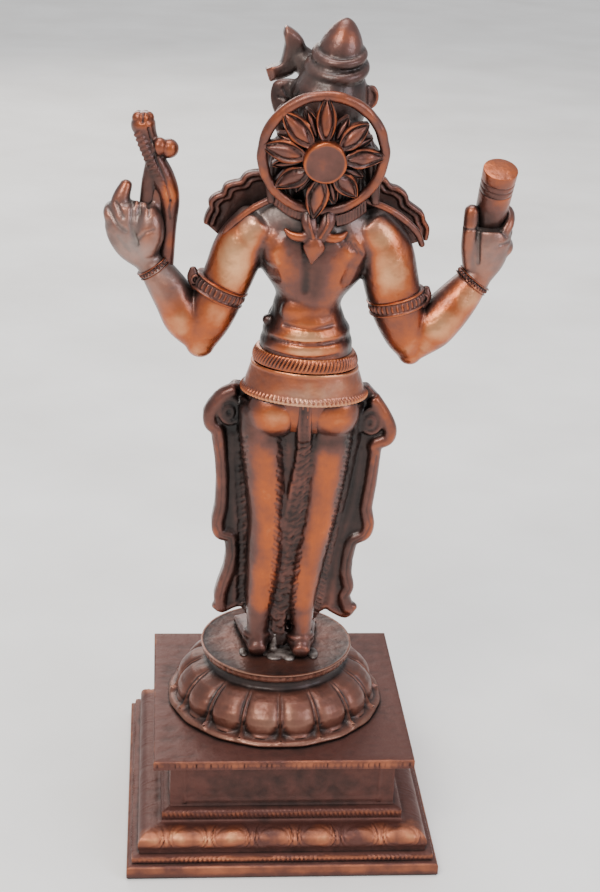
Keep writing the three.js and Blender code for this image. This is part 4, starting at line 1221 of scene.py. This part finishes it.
def cuff(centre, direction, radius, height, columns, pitch, relief_mm):
    """An engraved cuff about a limb: two rims with upright strokes between them."""
    strokes = round(TURN * radius / pitch)

    def relief(angle, share):
        upright = bell(share - 0.5, 0.36) * pulse(angle / TURN * strokes, 1.0, 0.34)
        rims = bell(share - 0.08, 0.12) + bell(share - 0.92, 0.12)
        return relief_mm * np.maximum(rims, upright * 0.9) - 0.1

    rows = [(radius, radius, height * (t - 0.5)) for t in np.linspace(0, 1, 20)]
    shape = relief_band(rows, columns, relief, shrink=1.4)
    turn = Vector((0, 0, 1)).rotation_difference(Vector(direction)).to_matrix()
    return placed(shape, turn, centre)


def make_cuffs(colours):
    """Armlets with leaf crests, and bracelets."""
    shapes = [
        # Middle, direction, radius, height, columns, pitch and relief of each cuff
        cuff((17.4, 3.4, 142.2), (0.42, 0, -0.91), 6.35, 3.8, 260, 1.25, 0.5),
        cuff((-25.2, 3.4, 139.8), (-0.26, 0, -0.96), 6.75, 3.6, 260, 1.25, 0.5),
        cuff((33.0, 0.7, 146.5), (0.58, 0, 0.81), 3.9, 1.9, 170, 0.95, 0.55),
        cuff((-43.8, 0.5, 144.1), (-0.62, 0, 0.78), 4.2, 1.9, 170, 0.95, 0.55),
    ]
    # Leaf crests that stand on the outer side of the armlets
    for x, y, z, side in ((22.6, 3.8, 144.4, 1), (-31.0, 3.8, 140.4, -1)):
        shapes.append(limb([[x, y, z - 1.6, 1.7, 1.4], [x + side * 0.9, y, z + 0.8, 1.7, 1.3],
                            [x + side * 1.2, y, z + 2.8, 0.8, 0.7]], sides=20))
        shapes.append(wire_ring((x + side * 0.5, y + 1.4, z + 0.4), 0.9, 0.4, steps=24, sides=8))
    obj = piece("armlets_and_bracelets", shapes)
    outward(obj)
    wear_and_light(obj, 0.4, bright=[((17, 9, 142), (6, 5, 4), 0.54), ((-25, 9, 140), (6, 5, 4), 0.56)],
        dull=[((24, 4, 146), (3, 4, 4), 0.4), ((-32, 4, 142), (3, 4, 4), 0.4)])
    return dress(obj, figure_copper(colours), "figure", crease=50)


# Scalloped edges in X and Z, from the arm up to the neck on the left and down again on the right
COLLAR_LEFT = [
    (18.0, 154.2), (21.2, 157.0), (20.6, 159.0), (19.8, 160.6), (20.0, 162.2), (18.6, 163.6), (17.0, 164.2),
    (16.4, 166.0), (14.4, 166.8), (12.8, 167.2), (11.6, 168.8), (9.6, 169.4), (7.6, 169.4),
]
COLLAR_RIGHT = [(-19.6, 168.6), (-21.6, 168.2), (-23.0, 166.6), (-25.0, 166.0), (-26.8, 164.6),
                (-27.4, 162.8), (-29.2, 161.4), (-31.0, 160.0), (-31.6, 158.2), (-32.6, 156.4),
                (-32.4, 153.8), (-29.3, 152.6)]
# The collar's rolled edges are drawn in toward this place
COLLAR_FOCUS = np.array([-5.0, 152.0])


def make_collar(colours):
    """The scalloped collar, shoulder straps and necklaces."""
    outline = [(8, 150), *COLLAR_LEFT, (-6, 170.5), *COLLAR_RIGHT, (-20, 150)]
    shapes = [plate(outline, -3.2, -1.0)]
    # Rolled edge and an inner line along it, on the back and on the front
    for edge in (COLLAR_LEFT[1:], COLLAR_RIGHT[:-1]):
        for inset, thick in ((0.5, 0.75), (2.1, 0.4)):
            line = []
            for x, z in edge:
                way = COLLAR_FOCUS - (x, z)
                way = way / np.linalg.norm(way) * inset
                line.append([x + way[0], -1.2, z + way[1], thick, thick + 0.3])
            shapes.append(limb(line, sides=14, per_span=4))
            shapes.append(placed(shapes[-1], np.eye(3), (0, -1.8, 0)))
    # Strap along the top of each shoulder
    for near, reach in ((9.5, 1.0), (-9.5, -1.12)):
        strap = [(near, 6.4, 165.6, 0.9), (15.5 * reach, 6.2, 162.4, 0.9), (20.6 * reach, 5.6, 157.8, 0.9),
                 (22.6 * reach, 3.6, 153.6, 0.8)]
        shapes.append(placed(limb(strap, sides=16), np.eye(3), (-5.2, 0, 0)))
    # Necklaces over the breast
    for drop, thick in ((6.0, 0.9), (11.0, 0.8)):
        chain = []
        for a in np.linspace(0.1, math.pi - 0.1, 11):
            sweep = math.cos(a)
            chain.append([-5.0 + 13.0 * sweep, -7.6 + 1.2 * sweep ** 2, 161.5 - drop * math.sin(a), thick])
        shapes.append(limb(chain, sides=14, per_span=4))
    obj = piece("collar_and_straps", shapes)
    fuse(obj, grain_mm=0.32, smoothing=2)
    wear_and_light(obj, 0.36, bright=[((12, 7, 161), (9, 3, 4), 0.46), ((-23, 7, 161), (9, 3, 5), 0.5),
                           ((20, 0, 161), (2, 3, 6), 0.34), ((-31, 0, 157), (3, 3, 5), 0.42)])
    return dress(obj, figure_copper(colours), "figure", crease=180)


# Plough and pestle

def make_plough(colours):
    """The plough in the left hand, with its knob, its pair of balls and its scales."""
    # Curved shaft, its brace and the pair of balls
    shapes = [limb([[35.9, 0.0, 182.4, 2.0], [35.6, 0.0, 180.4, 2.9], [34.6, 0.0, 177.6, 2.3],
                    [33.2, 0.0, 173.0, 2.4], [31.0, 0.0, 168.0, 2.8], [29.4, 0.0, 163.2, 2.4],
                    [29.6, 0.2, 156.0, 1.9], [30.0, 0.8, 147.0, 1.7]]),
              limb([[33.0, 0.0, 171.0, 2.2], [34.2, -0.4, 166.0, 1.9], [35.0, -0.8, 158.0, 1.8]]),
              ball((29.6, 0.6, 175.0), (2.3, 2.4, 2.3)), ball((31.9, 1.4, 175.6), (2.0, 2.2, 2.2))]
    # Lobes of the top knob
    for k in range(5):
        a = k * TURN / 5 + 0.5
        shapes.append(ball((35.7 + 1.3 * math.cos(a), 1.3 * math.sin(a), 182.0), (1.4, 1.4, 1.5), 20))
    # Scales down the outer side of the shaft
    for k in range(12):
        t = k / 11
        x = 36.0 - 4.2 * t - 1.6 * t * t
        z = 178.8 - 12.4 * t
        shapes.append(limb([[x - 0.9, 1.4, z - 0.4, 0.45], [x + 0.2, 2.4, z + 0.1, 0.55],
                            [x + 1.5, 1.6, z - 0.7, 0.45]], sides=10, per_span=4))
    obj = piece("plough", shapes)
    fuse(obj, grain_mm=0.28, smoothing=1)
    # Line beside the scales, split of the knob and a crease of the shaft
    carve(obj, [(((34.3, 180), (32.6, 173), (30.2, 167.4), (29.2, 163.0)), 0.42, 0.42),
                (((35.6, 184.2), (35.7, 181.4)), 0.4, 0.5),
                (((29.2, 163.0), (29.6, 160.8), (29.2, 158.8)), 0.36, 0.35)])
    wear_and_light(obj, 0.36, bright=[((29.6, 3, 175), (2.4, 3, 2.4), 0.6), ((29.6, 3, 164.5), (2.4, 4, 3.4), 0.72),
                           ((29.6, 3, 154), (2, 3, 5), 0.5), ((35.6, 3, 181.5), (3, 3, 2), 0.5)])
    return dress(obj, figure_copper(colours), "figure", crease=180)


def cut_across(height):
    """Cuts a loop round the active object at a height in millimetres."""
    bpy.ops.object.mode_set(mode="EDIT")
    bpy.ops.mesh.select_all(action="SELECT")
    bpy.ops.mesh.bisect(plane_co=(0, 0, height * MM), plane_no=(0, 0, 1),
                        xstart=0, xend=1, ystart=0, yend=1)
    bpy.ops.object.mode_set(mode="OBJECT")


def make_pestle(sizes, colours):
    """The pestle in the right hand, with three turned grooves under its top."""
    radius = sizes.pestle_radius / MM
    low, high = Vector((-46.6, -5.6, 148.6)), Vector((-47.7, 5.1, 172.6))
    way = high - low
    bpy.ops.object.select_all(action="DESELECT")
    bpy.ops.mesh.primitive_cone_add(vertices=72, radius1=(radius - 0.6) * MM, radius2=radius * MM,
                                    depth=way.length * MM, end_fill_type="NGON")
    obj = bpy.context.object
    obj.name = "pestle"
    obj.data.name = "pestle"
    cut_across(0)
    # Each turned groove is three cuts, the middle one pulled in
    grooves = [0.5 * way.length - 3.0 - 1.5 * k for k in range(3)]
    for height in grooves:
        for shift in (-0.28, 0.0, 0.28):
            cut_across(height + shift)
    points = coordinates(obj)
    for height in grooves:
        points[np.abs(points[:, 2] - height) < 0.0001, :2] *= 0.95
    set_coordinates(obj, points)
    bevel = obj.modifiers.new("worn_rim", "BEVEL")
    bevel.width = 0.35 * MM
    bevel.segments = 3
    bevel.limit_method = "ANGLE"
    select_only(obj)
    bpy.ops.object.modifier_apply(modifier=bevel.name)
    turn = Vector((0, 0, 1)).rotation_difference(way).to_matrix().to_4x4()
    obj.data.transform(Matrix.Translation((low + high) / 2 * MM) @ turn)
    obj.matrix_world = Matrix.Identity(4)
    # Rubbed top of the pestle, and painted shade where the fingers close round it
    wear_and_light(obj, 0.5, bright=[((-47.7, 5, 173), (5, 5, 1.6), 0.46)],
        dull=[((-44.5, 3, 164), (3.4, 6, 6), 0.6), ((-47, 2, 160), (6, 6, 3.5), 0.55)])
    return dress(obj, figure_copper(colours), "figure", crease=40)


def make_solder(colours):
    """Lumps of solder that hold the heels."""
    # Place in X and Y and the three radii of each lump
    lumps = ((0.6, 7.0, 4.6, 3.4, 0.9), (1.6, 9.6, 2.2, 1.8, 0.6), (-2.0, 9.8, 1.6, 2.0, 0.7),
             (-8.2, 7.8, 1.4, 3.0, 0.5), (9.6, 7.0, 1.2, 2.2, 0.5), (2.0, 4.2, 2.0, 2.6, 1.6))
    shapes = [ball((x, y, LOTUS_TOP), radii) for x, y, *radii in lumps]
    shapes.append(limb([[1.9, 6.0, LOTUS_TOP, 1.3], [1.7, 5.6, LOTUS_TOP + 4, 1.0],
                        [1.4, 5.2, LOTUS_TOP + 7, 0.5]], sides=18))
    obj = piece("heel_solder", shapes)
    fuse(obj, grain_mm=0.3, smoothing=2)
    return dress(obj, soft_solder(colours), "figure", crease=180)


# Floor, light and camera

# Soft boxes: name, place and size in metres, power in watts, tint
SOFTBOXES = (
    ("key_softbox", (0.4, 0.7, 0.95), 0.45, 9.0, "#fffaf2"),
    ("fill_softbox", (-0.75, 0.55, 0.55), 0.5, 4.5, "#eef2ff"),
    ("top_softbox", (0.0, -0.1, 1.1), 0.55, 6.0, "#ffffff"),
    ("front_softbox", (0.2, -0.9, 0.5), 0.5, 3.0, "#fff8f0"),
)
LIGHT_AIM = (0, 0, 0.1)


def make_stage(colours):
    """Floor, soft light and camera."""
    bpy.ops.object.select_all(action="DESELECT")
    bpy.ops.mesh.primitive_plane_add(size=6.0, location=(0, 0, 0))
    floor = bpy.context.object
    floor.name = "studio_floor"
    floor.data.materials.append(studio_floor(colours))
    world = bpy.data.worlds.new("soft_daylight")
    bpy.context.scene.world = world
    world.use_nodes = True
    background = world.node_tree.nodes["Background"]
    background.inputs["Color"].default_value = linear("#e4e6ea")
    background.inputs["Strength"].default_value = 0.95
    for name, place, size, power, tint in SOFTBOXES:
        light = bpy.data.lights.new(name, "AREA")
        light.size = size
        light.energy = power
        light.color = linear(tint)[:3]
        lamp = bpy.data.objects.new(name, light)
        lamp.location = place
        lamp.rotation_euler = (Vector(LIGHT_AIM) - Vector(place)).to_track_quat("-Z", "Y").to_euler()
        bpy.context.scene.collection.objects.link(lamp)
    set_camera()


def set_camera():
    """The camera at the viewpoint."""
    camera = bpy.data.objects.new("viewpoint", bpy.data.cameras.new("viewpoint"))
    bpy.context.scene.collection.objects.link(camera)
    bpy.context.scene.camera = camera
    camera.data.lens = VIEW_LENS_MM
    camera.data.sensor_width = SENSOR_MM
    camera.data.clip_start = 0.01
    forward = Vector((math.sin(VIEW_YAW), -math.cos(VIEW_YAW), 0))
    right = Vector((-math.cos(VIEW_YAW), -math.sin(VIEW_YAW), 0))
    level = Vector((0, 0, 1))
    ahead = forward * math.cos(VIEW_PITCH) - level * math.sin(VIEW_PITCH)
    upper = level * math.cos(VIEW_PITCH) + forward * math.sin(VIEW_PITCH)
    side = right * math.cos(VIEW_ROLL) + upper * math.sin(VIEW_ROLL)
    top = upper * math.cos(VIEW_ROLL) - right * math.sin(VIEW_ROLL)
    basis = Matrix((side, top, -ahead)).transposed().to_4x4()
    camera.matrix_world = Matrix.Translation(VIEW_PLACE) @ basis


# Add-on

class StatueSizes(bpy.types.PropertyGroup):
    """Sizes that a caster would change."""
    wheel_radius: FloatProperty(name="Wheel radius", description="Outer radius of the wheel halo",
                                default=0.0152, unit="LENGTH")
    casting_grain: FloatProperty(name="Casting grain", description="Finest detail that the wax body holds",
                                 default=0.00042, unit="LENGTH")
    hub_radius: FloatProperty(name="Hub radius", description="Radius of the wheel's hub disc",
                              default=0.0049, unit="LENGTH")
    pestle_radius: FloatProperty(name="Pestle radius", description="Radius of the pestle at its top",
                                 default=0.00415, unit="LENGTH")


def colour_property(name, description, hex_colour):
    """A colour setting with its default."""
    return FloatVectorProperty(name=name, description=description, subtype="COLOR", size=4, min=0, max=1,
                               default=linear(hex_colour))


class StatueColours(bpy.types.PropertyGroup):
    """Colours of the patina and the stage."""
    # The darkest stops, soot and umber, also paint the shade in folds and between parts
    soot: colour_property("Soot", "Deepest patina in the folds", "#140e0c")
    umber: colour_property("Umber", "Dark brown patina", "#34231f")
    brown: colour_property("Brown", "Middle brown patina", "#663f36")
    red_brown: colour_property("Red brown", "Satin patina of the plinth", "#603d36")
    copper: colour_property("Copper", "Buffed copper", "#a85428")
    # Rose copper also paints the highlights along the plinth's crest and edges
    rose_copper: colour_property("Rose copper", "Handled edges of the plinth", "#a8674a")
    # Pale copper also paints the highlights on the shoulders and upper arms
    pale_copper: colour_property("Pale copper", "Most worn copper", "#e0a474")
    bronze: colour_property("Bronze", "Patina of the pedestal", "#74493c")
    pale_bronze: colour_property("Pale bronze", "Rubbed petals", "#9c7865")
    # Grey of the painted reflection on the hands, shoulders, neck, head and belts
    sheen_grey: colour_property("Tarnish", "Grey film on handled places", "#a1948d")
    solder: colour_property("Solder", "Tin-lead solder", "#968c86")
    floor: colour_property("Floor", "Pale floor", "#faf8f5")
    floor_shade: colour_property("Floor shade", "Shaded mottle of the floor", "#ebe8e4")


class STATUE_OT_plinth(bpy.types.Operator):
    """Casts the stepped square plinth"""
    bl_idname = "statue.plinth"
    bl_label = "Plinth"
    bl_options = {"REGISTER", "UNDO"}

    def execute(self, context):
        make_plinth(context.scene.statue_colours)
        return {"FINISHED"}


class STATUE_OT_lotus(bpy.types.Operator):
    """Casts the lotus pedestal"""
    bl_idname = "statue.lotus"
    bl_label = "Lotus pedestal"
    bl_options = {"REGISTER", "UNDO"}

    def execute(self, context):
        make_lotus(context.scene.statue_colours)
        return {"FINISHED"}


class STATUE_OT_body(bpy.types.Operator):
    """Casts the torso, arms and hands"""
    bl_idname = "statue.body"
    bl_label = "Body and arms"
    bl_options = {"REGISTER", "UNDO"}

    def execute(self, context):
        make_body(context.scene.statue_sizes, context.scene.statue_colours)
        return {"FINISHED"}


class STATUE_OT_skirt(bpy.types.Operator):
    """Casts the legs, skirt and side drapery"""
    bl_idname = "statue.skirt"
    bl_label = "Legs and skirt"
    bl_options = {"REGISTER", "UNDO"}

    def execute(self, context):
        make_skirt(context.scene.statue_sizes, context.scene.statue_colours)
        return {"FINISHED"}


class STATUE_OT_head(bpy.types.Operator):
    """Casts the sow's head and crown"""
    bl_idname = "statue.head"
    bl_label = "Head and crown"
    bl_options = {"REGISTER", "UNDO"}

    def execute(self, context):
        make_head(context.scene.statue_colours)
        return {"FINISHED"}


class STATUE_OT_wheel(bpy.types.Operator):
    """Casts the wheel and its ribbon"""
    bl_idname = "statue.wheel"
    bl_label = "Wheel halo"
    bl_options = {"REGISTER", "UNDO"}

    def execute(self, context):
        make_wheel(context.scene.statue_sizes, context.scene.statue_colours)
        make_ribbon(context.scene.statue_colours)
        return {"FINISHED"}


class STATUE_OT_ornaments(bpy.types.Operator):
    """Casts the jewellery"""
    bl_idname = "statue.ornaments"
    bl_label = "Belts, cuffs and collar"
    bl_options = {"REGISTER", "UNDO"}

    def execute(self, context):
        make_belts(context.scene.statue_colours)
        make_cuffs(context.scene.statue_colours)
        make_collar(context.scene.statue_colours)
        return {"FINISHED"}


class STATUE_OT_attributes(bpy.types.Operator):
    """Casts what the hands hold"""
    bl_idname = "statue.attributes"
    bl_label = "Plough and pestle"
    bl_options = {"REGISTER", "UNDO"}

    def execute(self, context):
        make_plough(context.scene.statue_colours)
        make_pestle(context.scene.statue_sizes, context.scene.statue_colours)
        return {"FINISHED"}


class STATUE_OT_solder(bpy.types.Operator):
    """Joins the heels to the pedestal"""
    bl_idname = "statue.solder"
    bl_label = "Heel solder"
    bl_options = {"REGISTER", "UNDO"}

    def execute(self, context):
        make_solder(context.scene.statue_colours)
        return {"FINISHED"}


class STATUE_OT_stage(bpy.types.Operator):
    """Sets floor, light and camera"""
    bl_idname = "statue.stage"
    bl_label = "Stage"
    bl_options = {"REGISTER", "UNDO"}

    def execute(self, context):
        make_stage(context.scene.statue_colours)
        return {"FINISHED"}


STEPS = (
    STATUE_OT_plinth, STATUE_OT_lotus, STATUE_OT_body, STATUE_OT_skirt,
    STATUE_OT_head, STATUE_OT_wheel, STATUE_OT_ornaments,
    STATUE_OT_attributes, STATUE_OT_solder, STATUE_OT_stage,
)


class STATUE_PT_panel(bpy.types.Panel):
    """Lists the steps that build the statue."""
    bl_label = "Statue"
    bl_space_type = "VIEW_3D"
    bl_region_type = "UI"
    bl_category = "Statue"

    def draw(self, context):
        for group in (context.scene.statue_sizes, context.scene.statue_colours):
            for name in group.bl_rna.properties.keys():
                if name not in ("rna_type", "name"):
                    self.layout.prop(group, name)
        for step in STEPS:
            self.layout.operator(step.bl_idname)


CLASSES = (StatueSizes, StatueColours, *STEPS, STATUE_PT_panel)


def register():
    """Adds the classes and the scene's settings."""
    for entry in CLASSES:
        bpy.utils.register_class(entry)
    bpy.types.Scene.statue_sizes = PointerProperty(type=StatueSizes)
    bpy.types.Scene.statue_colours = PointerProperty(type=StatueColours)


def unregister():
    """Takes them away again."""
    del bpy.types.Scene.statue_sizes
    del bpy.types.Scene.statue_colours
    for entry in reversed(CLASSES):
        bpy.utils.unregister_class(entry)


def main():
    """Builds the statue step by step."""
    register()
    bpy.ops.statue.plinth()
    bpy.ops.statue.lotus()
    bpy.ops.statue.body()
    bpy.ops.statue.skirt()
    bpy.ops.statue.head()
    bpy.ops.statue.wheel()
    bpy.ops.statue.ornaments()
    bpy.ops.statue.attributes()
    bpy.ops.statue.solder()
    bpy.ops.statue.stage()


if __name__ == "__main__":
    main()
